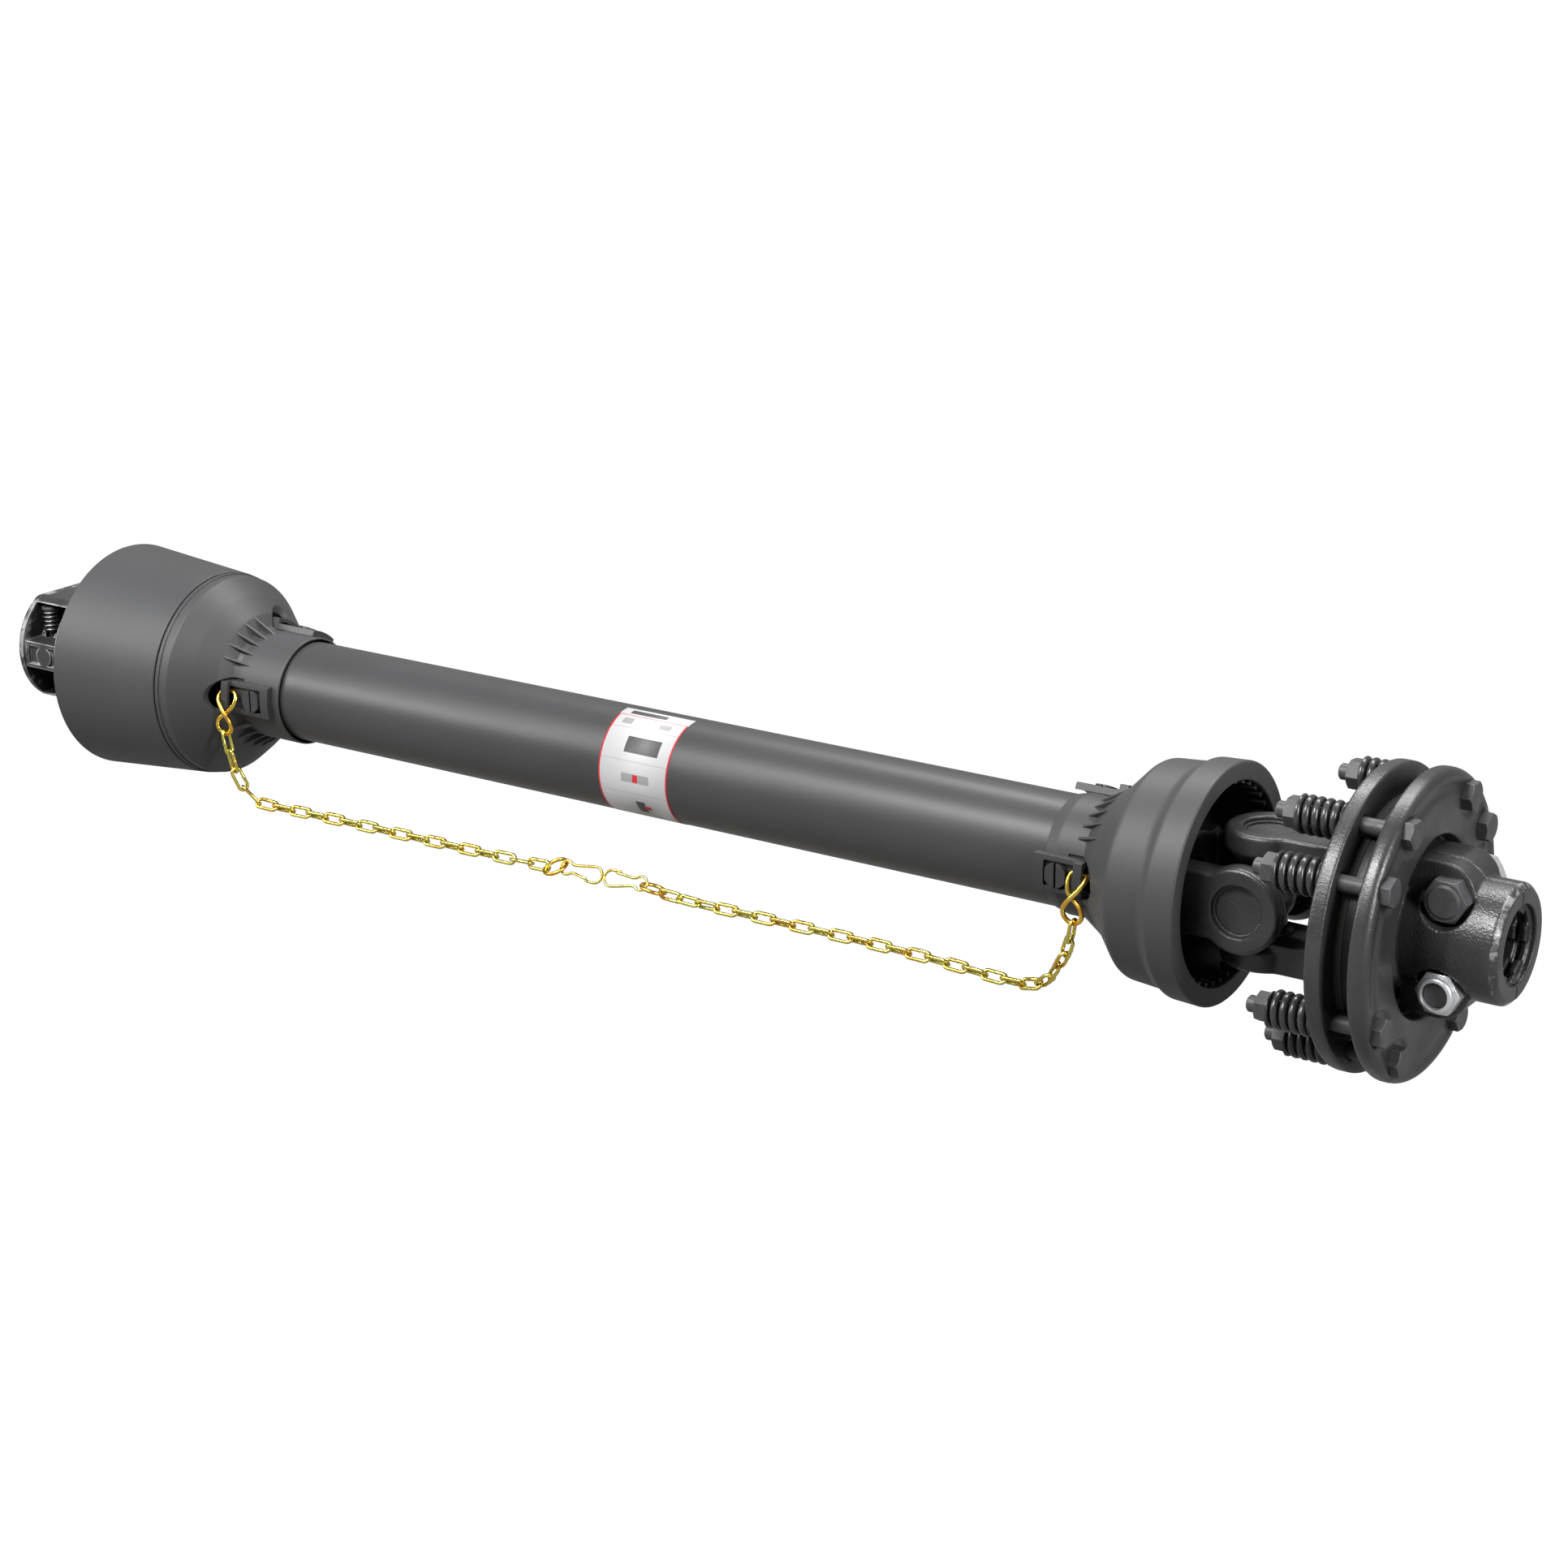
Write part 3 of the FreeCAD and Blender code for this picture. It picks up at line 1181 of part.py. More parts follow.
def build():
    front, rear = hub_halves()
    inner, drive, outer, cover = stack()
    ring_one, ring_two = chain_rings()
    hook_one, hook_two = snap_hooks()
    rolls = [90, 165, 240, 315, 405, 495]
    return {
        "tractor_yoke": tractor_yoke(),
        "push_pin": push_pin(),
        "push_pin_spring": pin_spring(),
        "tractor_yoke_cups": cups("Z", tractor_cross_x),
        "tractor_yoke_circlips": circlips("Z", tractor_cross_x),
        "tractor_cross": cross(tractor_cross_x),
        "tractor_grease_nipple": grease_nipple(tractor_cross_x),
        "tractor_tube_yoke": tractor_tube_yoke(),
        "tractor_tube_yoke_cups": cups("Y", tractor_cross_x),
        "tractor_tube_yoke_circlips": circlips("Y", tractor_cross_x),
        "tractor_roll_pin": roll_pin(tractor_roll_pin_x, tractor_hub_radius),
        "inner_profile_tube": inner_profile_tube(),
        "outer_profile_tube": outer_profile_tube(),
        "implement_tube_yoke": implement_tube_yoke(),
        "implement_tube_yoke_cups": cups("Y", implement_cross_x),
        "implement_tube_yoke_circlips": circlips("Y", implement_cross_x),
        "implement_roll_pin": roll_pin(implement_roll_pin_x, implement_hub_radius),
        "implement_cross": cross(implement_cross_x),
        "implement_grease_nipple": grease_nipple(implement_cross_x),
        "tractor_bell": tractor_bell(),
        "tractor_cone": tractor_cone(),
        "tractor_clips": clips(tractor_strap_x, 1, tractor_clip_length),
        "tractor_bearing_ring": bearing_ring(tractor_bearing_x, tractor_hub_radius),
        "inner_guard_tube": inner_guard_tube(),
        "outer_guard_tube": outer_guard_tube(),
        "implement_cone": implement_cone(),
        "implement_clips": clips(implement_strap_x, -1, implement_clip_length),
        "implement_bearing_ring": bearing_ring(implement_bearing_x, implement_hub_radius),
        "tractor_s_hook": s_hook(tractor_strap_x, 1, 1.0),
        "tractor_chain_links": Part.makeCompound(chain_along(tractor_chain_route(), rolls)),
        "tractor_chain_ring": chain_ring(ring_one[0], ring_one[1]),
        "tractor_snap_hook": hook_one,
        "implement_s_hook": s_hook(implement_strap_x, -1, 0.35),
        "implement_chain_links": Part.makeCompound(chain_along(implement_chain_route(), rolls)),
        "implement_chain_ring": chain_ring(ring_two[0], ring_two[1]),
        "implement_snap_hook": hook_two,
        "clutch_yoke": clutch_yoke(),
        "clutch_yoke_cups": cups("Z", implement_cross_x),
        "clutch_yoke_circlips": circlips("Z", implement_cross_x),
        "clutch_bolts": clutch_bolts(),
        "clutch_nuts": clutch_nuts(),
        "clutch_springs": clutch_springs(),
        "friction_disc_inner": friction_disc(inner),
        "drive_plate": drive_plate(),
        "friction_disc_outer": friction_disc(outer),
        "pressure_cover": pressure_cover(),
        "hub_half_front": front,
        "hub_half_rear": rear,
        "hub_bolts": hub_bolts(),
        "hub_nuts": hub_nuts(),
    }


os.makedirs("parts", exist_ok=True)
for name, shape in build().items():
    shape.exportStep("parts/" + name + ".step")
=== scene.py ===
"""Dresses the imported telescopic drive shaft: its castings, guards, chain, springs and label."""

import json
import math

import bmesh
import bpy
import numpy as np
from bpy.props import FloatProperty, FloatVectorProperty, IntProperty, PointerProperty
from mathutils import Matrix, Vector

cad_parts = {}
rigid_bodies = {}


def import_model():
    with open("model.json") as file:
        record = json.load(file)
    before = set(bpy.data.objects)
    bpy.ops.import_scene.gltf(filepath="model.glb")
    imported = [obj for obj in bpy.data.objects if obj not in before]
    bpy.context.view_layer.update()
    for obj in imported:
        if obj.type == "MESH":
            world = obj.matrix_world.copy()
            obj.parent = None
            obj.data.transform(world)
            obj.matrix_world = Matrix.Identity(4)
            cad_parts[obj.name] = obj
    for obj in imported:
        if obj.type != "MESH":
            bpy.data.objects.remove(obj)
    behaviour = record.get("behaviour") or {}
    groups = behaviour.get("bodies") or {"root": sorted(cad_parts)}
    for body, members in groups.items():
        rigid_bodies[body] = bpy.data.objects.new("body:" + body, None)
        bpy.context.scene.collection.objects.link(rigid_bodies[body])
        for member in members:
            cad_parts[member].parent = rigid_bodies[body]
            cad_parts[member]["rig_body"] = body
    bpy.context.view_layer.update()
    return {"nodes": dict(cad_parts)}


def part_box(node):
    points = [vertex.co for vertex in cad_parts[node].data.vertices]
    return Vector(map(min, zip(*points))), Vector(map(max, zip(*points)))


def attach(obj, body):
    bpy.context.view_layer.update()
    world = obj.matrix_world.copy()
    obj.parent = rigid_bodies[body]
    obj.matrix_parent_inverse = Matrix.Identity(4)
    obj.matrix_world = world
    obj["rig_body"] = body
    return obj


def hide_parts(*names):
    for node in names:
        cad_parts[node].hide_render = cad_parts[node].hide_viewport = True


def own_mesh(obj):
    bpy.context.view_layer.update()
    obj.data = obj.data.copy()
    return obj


bl_info = {
    "name": "Drive Shaft Dressing",
    "version": (1, 0, 0),
    "blender": (4, 5, 0),
    "location": "View3D > Sidebar > Drive Shaft",
    "description": "Finishes and fine parts for a telescopic drive shaft with guard, chain and clutch",
    "category": "Object",
}

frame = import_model()
nodes = frame["nodes"]

# Where the shaft touches the floor, in metres along X
bell_contact_x = 0.075
clutch_contact_x = 1.0909

# The rubbed rings at both ends: place along X, radius about the axis and half width
collar_ring = {"x": 0.0026, "radius": 0.0428, "half_width": 0.0062}
hub_ring = {"x": 1.147, "radius": 0.0346, "half_width": 0.0022}
hub_crisp_radius = 0.0255

# The label's plain rectangles: place across it, place round it in degrees, half width and half height
grey_fields = ((-0.017, 64, 0.004, 0.0026), (0.013, 64, 0.0045, 0.0022), (0.002, 0, 0.011, 0.003))
black_fields = ((0.004, 36, 0.0135, 0.0056), (-0.006, 80, 0.0145, 0.0022), (0.003, -37, 0.0035, 0.0055))
red_fields = ((0.002, 0, 0.002, 0.0026), (0.0075, -37, 0.003, 0.0018))
grey_ink = (0.22, 0.22, 0.225)
black_ink = (0.045, 0.045, 0.047)
rules_round = (55, 18, -18, -55)
red_line_round = 73
red_line_half = 0.00028
edge_line = 0.0012

# The lamps: name, place, what they point at, size and power in watts
lamps = (
    ("key", (0.05, -1.85, 2.25), (0.25, 0, 0), (1.8, 0.8), 160),
    ("top", (0.7, 0.9, 1.9), (0.6, 0, 0), (2.4, 0.4), 66),
    ("end", (3.0, -0.6, 0.9), (1.1, 0, 0), (0.5, 1.2), 58),
    ("mouth", (-1.3, -1.5, 1.0), (0, 0, 0), (0.7, 0.7), 32),
)


# Settings

class GuardLook(bpy.types.PropertyGroup):
    plastic: FloatVectorProperty(
        name="Plastic", description="Colour of the moulded guard", subtype="COLOR", size=3,
        default=(0.035, 0.0355, 0.0367))
    nylon: FloatVectorProperty(
        name="Bearing nylon", description="Colour of the bearing rings", subtype="COLOR", size=3,
        default=(0.6, 0.58, 0.5))
    edge_round: FloatProperty(
        name="Edge rounding", description="Radius of the moulded edges", unit="LENGTH",
        default=0.0007, min=0, precision=5)


class LabelLook(bpy.types.PropertyGroup):
    start: FloatProperty(
        name="Start", description="Where the label begins along the tube", unit="LENGTH", default=0.526)
    end: FloatProperty(
        name="End", description="Where the label ends along the tube", unit="LENGTH", default=0.581)
    lift: FloatProperty(
        name="Thickness", description="How far the label stands off the tube", unit="LENGTH",
        default=0.00018, precision=5)
    wrap: FloatProperty(
        name="Wrap", description="Angle that the label covers round the tube", unit="ROTATION",
        default=math.radians(202))
    middle: FloatProperty(
        name="Middle", description="Angle of the label's middle above the front", unit="ROTATION",
        default=math.radians(-13))
    paper: FloatVectorProperty(
        name="Paper", description="Colour of the label", subtype="COLOR", size=3, default=(0.38, 0.38, 0.385))
    border: FloatVectorProperty(
        name="Border", description="Colour of the label's edge lines", subtype="COLOR", size=3,
        default=(0.4, 0.012, 0.018))
    rule: FloatVectorProperty(
        name="Rules", description="Colour of the lines across the label", subtype="COLOR", size=3,
        default=(0.2, 0.2, 0.205))


class CastingLook(bpy.types.PropertyGroup):
    paint: FloatVectorProperty(
        name="Paint", description="Colour of the painted castings", subtype="COLOR", size=3,
        default=(0.023, 0.023, 0.0235))
    worn: FloatVectorProperty(
        name="Worn edge", description="Colour of edges rubbed bright", subtype="COLOR", size=3,
        default=(0.3, 0.3, 0.31))
    skin_size: FloatProperty(
        name="Skin size", description="Width of one dimple of the cast skin", unit="LENGTH",
        default=0.0013, precision=5)
    skin_depth: FloatProperty(
        name="Skin depth", description="Height of the cast skin", unit="LENGTH",
        default=0.0001, precision=6)
    grid: FloatProperty(
        name="Form grid", description="Mesh size of the castings' rounded forms", unit="LENGTH",
        default=0.001, min=0.0007, precision=5)
    softening: IntProperty(
        name="Softening", description="How far the castings' corners are run over", default=9, min=0)
    edge_round: FloatProperty(
        name="Edge rounding", description="Radius of the cast edges", unit="LENGTH",
        default=0.0011, min=0, precision=5)


class ChainLook(bpy.types.PropertyGroup):
    warm: FloatVectorProperty(
        name="Warm zinc", description="Yellow zinc where it is thick", subtype="COLOR", size=3,
        default=(0.78, 0.4, 0.045))
    pale: FloatVectorProperty(
        name="Pale zinc", description="Yellow zinc where it is thin", subtype="COLOR", size=3,
        default=(0.66, 0.6, 0.13))
    wire: FloatProperty(
        name="Link wire", description="Diameter of the links' wire", unit="LENGTH",
        default=0.0024, precision=5)
    ring_wire: FloatProperty(
        name="Ring wire", description="Diameter of the rings' wire", unit="LENGTH",
        default=0.0026, precision=5)
    sides: IntProperty(
        name="Sides", description="Facets round one wire", default=14, min=6)
    bend_steps: IntProperty(
        name="Bend steps", description="Facets along the half turn of a link", default=12, min=4)


class SpringLook(bpy.types.PropertyGroup):
    wire: FloatProperty(
        name="Wire", description="Diameter of the clutch springs' wire", unit="LENGTH", default=0.0045,
        precision=5)
    turns: FloatProperty(name="Turns", description="Turns of one clutch spring", default=4.75, min=1)
    steps: IntProperty(name="Steps", description="Facets along one turn", default=28, min=8)
    paint: FloatVectorProperty(
        name="Paint", description="Colour of the glossy springs", subtype="COLOR", size=3,
        default=(0.022, 0.022, 0.023))
    pin_wire: FloatProperty(
        name="Pin wire", description="Diameter of the wire of the lock pin's spring", unit="LENGTH",
        default=0.0011, precision=5)
    pin_coil: FloatProperty(
        name="Pin coil", description="Outer diameter of the lock pin's spring", unit="LENGTH",
        default=0.0134, precision=5)
    pin_turns: IntProperty(name="Pin turns", description="Turns of the lock pin's spring", default=5, min=1)


class StageLook(bpy.types.PropertyGroup):
    eye: FloatVectorProperty(
        name="Camera place", description="Where the camera stands", subtype="TRANSLATION", size=3,
        default=(1.7942, -1.7016, 0.6774))
    yaw: FloatProperty(
        name="Yaw", description="Turn of the camera from +Y", unit="ROTATION", default=math.radians(-33.945))
    dip: FloatProperty(
        name="Dip", description="Angle that the camera looks down", unit="ROTATION",
        default=math.radians(18.169))
    lens: FloatProperty(name="Lens", description="Focal length for a 36 mm sensor", default=77.17, min=1)
    floor_left: FloatProperty(
        name="Floor at the bell", description="Height of the floor under the guard bell", unit="LENGTH",
        default=-0.0808, precision=5)
    floor_right: FloatProperty(
        name="Floor at the clutch", description="Height of the floor under the clutch", unit="LENGTH",
        default=-0.0926, precision=5)
    gloss: FloatProperty(
        name="White in gloss", description="Share of the white background that gloss shows",
        default=0.3, min=0, max=1)
    sky: FloatProperty(
        name="Surroundings", description="Strength of the light all round", default=0.07, min=0)


# Shader building blocks

class Nodes:
    """Places and links the nodes of one tree."""

    def __init__(self, tree):
        self.tree = tree

    def add(self, kind, values=None, **options):
        node = self.tree.nodes.new(kind)
        for name, value in options.items():
            setattr(node, name, value)
        for socket, value in (values or {}).items():
            self.feed(node.inputs[socket], value)
        return node

    def feed(self, socket, value):
        if isinstance(value, bpy.types.NodeSocket):
            self.tree.links.new(value, socket)
        elif isinstance(value, (tuple, list)) and len(value) == 3 and socket.type == "RGBA":
            socket.default_value = (*value, 1)
        else:
            socket.default_value = value

    def maths(self, operation, a, b=0.0):
        node = self.add("ShaderNodeMath", operation=operation)
        self.feed(node.inputs[0], a)
        self.feed(node.inputs[1], b)
        return node.outputs[0]

    def mixed(self, mask, low, high):
        """One colour where the mask is 0 and another where it is 1."""
        node = self.add("ShaderNodeMix", data_type="RGBA")
        self.feed(node.inputs["Factor"], mask)
        self.feed(node.inputs[6], low)
        self.feed(node.inputs[7], high)
        return node.outputs[2]

    def mapped(self, value, low, high, to_low=0.0, to_high=1.0):
        node = self.add("ShaderNodeMapRange", {0: value, 1: low, 2: high, 3: to_low, 4: to_high})
        return node.outputs[0]

    def noise(self, scale, detail=2.0, roughness=0.5):
        """Noise that stays with the piece when it moves."""
        place = self.add("ShaderNodeTexCoord").outputs["Object"]
        return self.add("ShaderNodeTexNoise", {
            "Vector": place, "Scale": scale, "Detail": detail, "Roughness": roughness}).outputs["Fac"]


def effect(name, inputs, outputs, build):
    """A shader group, built once and shared by the materials that use it."""
    if name in bpy.data.node_groups:
        return bpy.data.node_groups[name]
    tree = bpy.data.node_groups.new(name, "ShaderNodeTree")
    for label, value in inputs:
        socket = tree.interface.new_socket(label, in_out="INPUT", socket_type="NodeSocketFloat")
        socket.default_value = value
    for label in outputs:
        tree.interface.new_socket(label, in_out="OUTPUT", socket_type="NodeSocketFloat")
    work = Nodes(tree)
    start = work.add("NodeGroupInput")
    end = work.add("NodeGroupOutput")
    results = build(work, start.outputs)
    for label, value in zip(outputs, results):
        work.feed(end.inputs[label], value)
    return tree


def worn_edges():
    """Mask of the narrow bands along sharp edges, broken up by noise."""
    def build(work, given):
        rounded = work.add("ShaderNodeBevel", {"Radius": given["Width"]}, samples=6)
        plain = work.add("ShaderNodeNewGeometry").outputs["Normal"]
        facing = work.add("ShaderNodeVectorMath", {0: rounded.outputs[0], 1: plain}, operation="DOT_PRODUCT")
        bend = work.maths("SUBTRACT", 1.0, facing.outputs["Value"])
        band = work.mapped(bend, 0.02, 0.16)
        patches = work.mapped(
            work.noise(given["Patch scale"], detail=3, roughness=0.6), 0.38, 0.62, 0.15, 1.0)
        return [work.maths("MULTIPLY", band, patches)]
    return effect("Worn edges", [("Width", 0.001), ("Patch scale", 60)], ["Mask"], build)


def cast_skin():
    """The orange-peel skin of a thickly painted casting."""
    def build(work, given):
        coarse = work.noise(given["Scale"], detail=1.5, roughness=0.45)
        dimples = work.mapped(coarse, 0.35, 0.68)
        fine = work.noise(work.maths("MULTIPLY", given["Scale"], 3.2), detail=1, roughness=0.4)
        height = work.maths("ADD", dimples, work.maths("MULTIPLY", fine, 0.25))
        return [height, dimples]
    return effect("Cast skin", [("Scale", 450)], ["Height", "Dimples"], build)


def moulded_grain():
    """Fine grain and faint flow marks of moulded plastic."""
    def build(work, given):
        grain = work.noise(given["Scale"], detail=3, roughness=0.6)
        flow = work.noise(9)
        height = work.maths("ADD", work.maths("MULTIPLY", grain, 0.12), flow)
        return [grain, work.mapped(flow, 0.35, 0.65), height]
    return effect("Moulded grain", [("Scale", 1400)], ["Grain", "Flow", "Height"], build)


def new_material(name, **values):
    """A material with a fresh Principled shader; the values go on its own sockets."""
    found = bpy.data.materials.get(name) or bpy.data.materials.new(name)
    found.use_nodes = True
    found.node_tree.nodes.clear()
    work = Nodes(found.node_tree)
    surface = work.add("ShaderNodeBsdfPrincipled", {k.replace("_", " "): v for k, v in values.items()})
    end = work.add("ShaderNodeOutputMaterial", {"Surface": surface.outputs[0]})
    end.is_active_output = True
    return found, work, surface


def use(work, group, values):
    """Places a shared effect in a material and gives its outputs."""
    node = work.add("ShaderNodeGroup")
    node.node_tree = group
    for label, value in values.items():
        work.feed(node.inputs[label], value)
    return node.outputs


def relief(work, surface, height, distance, edge_round=0.0):
    """Bump on top of a normal that is rounded over the edges."""
    bump = work.add("ShaderNodeBump", {"Height": height, "Distance": distance, "Strength": 1.0})
    if edge_round:
        soft = work.add("ShaderNodeBevel", {"Radius": edge_round}, samples=6)
        work.feed(bump.inputs["Normal"], soft.outputs[0])
    work.feed(surface.inputs["Normal"], bump.outputs[0])


def toned(colour, factor):
    """A colour made lighter or darker."""
    return tuple(c * factor for c in colour)


def casting_material(name, look, skin=1.0, rough=0.32, wear=1.0, edge_width=0.8, ring=None):
    """Thick semi-gloss paint over a rough casting, rubbed bright along its edges and on a ring about X."""
    found, work, surface = new_material(name, Specular_IOR_Level=0.5)
    skin_out = use(work, cast_skin(), {"Scale": 1 / look.skin_size})
    edge = use(work, worn_edges(), {"Width": look.edge_round * edge_width, "Patch scale": 70})["Mask"]
    edge = work.maths("MULTIPLY", edge, wear)
    if ring:
        edge = work.maths("MAXIMUM", edge, rubbed_ring(work, **ring))
    base = tuple(look.paint)
    clouds = work.mapped(work.noise(26, detail=3, roughness=0.6), 0.35, 0.7)
    shade = work.mixed(clouds, toned(base, 0.72), toned(base, 1.25))
    colour = work.mixed(work.maths("MULTIPLY", edge, 0.75), shade, tuple(look.worn))
    work.feed(surface.inputs["Base Color"], colour)
    patches = work.noise(38, detail=3, roughness=0.6)
    gloss = work.mapped(patches, 0.3, 0.7, rough - 0.07, rough + 0.1)
    work.feed(surface.inputs["Roughness"], work.maths("SUBTRACT", gloss, work.maths("MULTIPLY", edge, 0.08)))
    relief(work, surface, skin_out["Height"], look.skin_depth * skin, look.edge_round)
    return found


def rubbed_ring(work, x, radius, half_width):
    """Mask of a rubbed ring about the shaft axis, patchy along its length."""
    place = work.add("ShaderNodeTexCoord").outputs["Object"]
    split = work.add("ShaderNodeSeparateXYZ", {0: place}).outputs
    squares = work.maths("ADD", work.maths("POWER", split["Y"], 2.0), work.maths("POWER", split["Z"], 2.0))
    out = work.maths("ABSOLUTE", work.maths("SUBTRACT", work.maths("SQRT", squares), radius))
    along = work.maths("ABSOLUTE", work.maths("SUBTRACT", split["X"], x))
    near = work.mapped(work.maths("MAXIMUM", out, along), half_width * 0.6, half_width, 1.0, 0.0)
    patches = work.mapped(work.noise(85, detail=4, roughness=0.65), 0.5, 0.6, 0.0, 0.85)
    return work.maths("MULTIPLY", near, patches)


def plastic_material(name, colour, edge_round, rough=0.5):
    """Matte moulded plastic with fine grain, faint flow marks and paler rubbed edges."""
    found, work, surface = new_material(name, Specular_IOR_Level=0.34)
    grain = use(work, moulded_grain(), {"Scale": 1500})
    edge = use(work, worn_edges(), {"Width": edge_round, "Patch scale": 40})["Mask"]
    base = tuple(colour)
    shade = work.mixed(grain["Flow"], toned(base, 0.93), toned(base, 1.07))
    colour = work.mixed(work.maths("MULTIPLY", edge, 0.3), shade, toned(base, 1.8))
    work.feed(surface.inputs["Base Color"], colour)
    work.feed(surface.inputs["Roughness"], work.mapped(grain["Grain"], 0.3, 0.7, rough - 0.05, rough + 0.06))
    relief(work, surface, grain["Height"], 0.00012, edge_round)
    return found


def metal_material(name, colour, rough, scratch=0.1, edge_round=0.0004, metallic=1.0):
    """Bare or plated metal with fine scratches and slight stains."""
    found, work, surface = new_material(name, Metallic=metallic)
    stain = work.mapped(work.noise(90, detail=4, roughness=0.6), 0.35, 0.7)
    base = tuple(colour)
    work.feed(surface.inputs["Base Color"], work.mixed(stain, base, toned(base, 0.78)))
    scratches = work.mapped(work.noise(600, detail=2, roughness=0.6), 0.3, 0.7, rough, rough + scratch)
    work.feed(surface.inputs["Roughness"], scratches)
    relief(work, surface, work.noise(1800), 0.00003, edge_round)
    return found


def paint_material(name, colour, rough, worn, wear=0.8, edge_round=0.0005):
    """Thin dark paint on turned or rolled steel, with pale chamfers."""
    found, work, surface = new_material(name, Specular_IOR_Level=0.45)
    edge = use(work, worn_edges(), {"Width": edge_round, "Patch scale": 160})["Mask"]
    edge = work.maths("MULTIPLY", edge, wear)
    base = tuple(colour)
    clouds = work.mapped(work.noise(110, detail=3, roughness=0.6), 0.35, 0.7)
    shade = work.mixed(clouds, base, toned(base, 1.5))
    work.feed(surface.inputs["Base Color"], work.mixed(edge, shade, tuple(worn)))
    uneven = work.mapped(work.noise(200, detail=3, roughness=0.6), 0.3, 0.7, rough, rough + 0.12)
    work.feed(surface.inputs["Roughness"], uneven)
    relief(work, surface, work.noise(700), 0.00006, edge_round)
    return found


def zinc_material(name, look, warmth):
    """Yellow passivated zinc, orange where it is thick and greenish where it is thin."""
    found, work, surface = new_material(name, Metallic=1.0)
    cloud = work.mapped(work.noise(75), 0.32, 0.7)
    tone = work.add("ShaderNodeMath", {0: cloud, 1: warmth}, operation="ADD", use_clamp=True).outputs[0]
    work.feed(surface.inputs["Base Color"], work.mixed(tone, tuple(look.pale), tuple(look.warm)))
    work.feed(surface.inputs["Roughness"], work.mapped(work.noise(120), 0.3, 0.7, 0.22, 0.3))
    relief(work, surface, work.noise(260, detail=1, roughness=0.4), 0.00001)
    return found


def label_material(look, radius):
    """A white label with red edge lines, thin rules and plain rectangles, without words or pictures."""
    found, work, surface = new_material("Label", Roughness=0.5, Specular_IOR_Level=0.4)
    place = work.add("ShaderNodeTexCoord").outputs["Object"]
    split = work.add("ShaderNodeSeparateXYZ", {0: place}).outputs
    round_at = work.maths("ARCTAN2", split["Z"], work.maths("MULTIPLY", split["Y"], -1.0))
    centre = (look.start + look.end) / 2
    half = (look.end - look.start) / 2
    across = work.maths("SUBTRACT", split["X"], centre)

    def field(x, degrees, half_x, half_round):
        """Mask of a plain printed rectangle, in metres across and round the tube."""
        off = work.maths("DIVIDE", work.maths("ABSOLUTE", work.maths("SUBTRACT", across, x)), half_x)
        arc = work.maths("SUBTRACT", round_at, math.radians(degrees))
        turn = work.maths("ABSOLUTE", work.maths("MULTIPLY", arc, radius / half_round))
        return work.maths("LESS_THAN", work.maths("MAXIMUM", off, turn), 1.0)

    def printed(base, fields, ink):
        """A colour with fields of another ink on it."""
        for spot in fields:
            base = work.mixed(field(*spot), base, ink)
        return base

    rules = [(0, degrees, half, red_line_half / 2) for degrees in rules_round]
    shade = printed(tuple(look.paper), rules, tuple(look.rule))
    shade = printed(shade, grey_fields, grey_ink)
    shade = printed(shade, black_fields, black_ink)
    red = tuple(look.border)
    shade = printed(shade, [(0, red_line_round, half, red_line_half), *red_fields], red)
    body = work.maths("LESS_THAN", round_at, math.radians(red_line_round))
    edge = work.maths("GREATER_THAN", work.maths("ABSOLUTE", across), half - edge_line)
    work.feed(surface.inputs["Base Color"], work.mixed(work.maths("MULTIPLY", edge, body), shade, red))
    relief(work, surface, work.noise(300), 0.00002)
    return found


# Shape helpers

def finished(name, bm, material, body):
    """Turns a bmesh into a smooth-shaded piece that rides on a body."""
    mesh = bpy.data.meshes.new(name)
    bm.normal_update()
    bm.to_mesh(mesh)
    bm.free()
    for face in mesh.polygons:
        face.use_smooth = True
    mesh.materials.append(material)
    piece = bpy.data.objects.new(name, mesh)
    bpy.context.scene.collection.objects.link(piece)
    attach(piece, body)
    return piece


def body_of(node):
    """The body that a CAD node rides on."""
    return nodes[node]["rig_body"]


def dress(material, *names):
    """Gives CAD nodes a finish and leaves their shapes alone."""
    for name in names:
        mesh = nodes[name].data
        mesh.materials.clear()
        mesh.materials.append(material)


def merged_copy(node):
    """A CAD node's mesh with its loose triangles joined into whole faces."""
    bm = bmesh.new()
    bm.from_mesh(nodes[node].data)
    bmesh.ops.remove_doubles(bm, verts=bm.verts, dist=1e-6)
    bmesh.ops.dissolve_limit(bm, angle_limit=math.radians(0.6), verts=bm.verts, edges=bm.edges)
    return bm


def solids_of(node):
    """The corner points of each separate solid of a CAD node."""
    bm = merged_copy(node)
    found = []
    seen = set()
    for vert in bm.verts:
        if vert.index in seen:
            continue
        seen.add(vert.index)
        heap = [vert]
        points = []
        while heap:
            here = heap.pop()
            points.append(here.co.copy())
            for edge in here.link_edges:
                other = edge.other_vert(here)
                if other.index not in seen:
                    seen.add(other.index)
                    heap.append(other)
        found.append(points)
    bm.free()
    return found


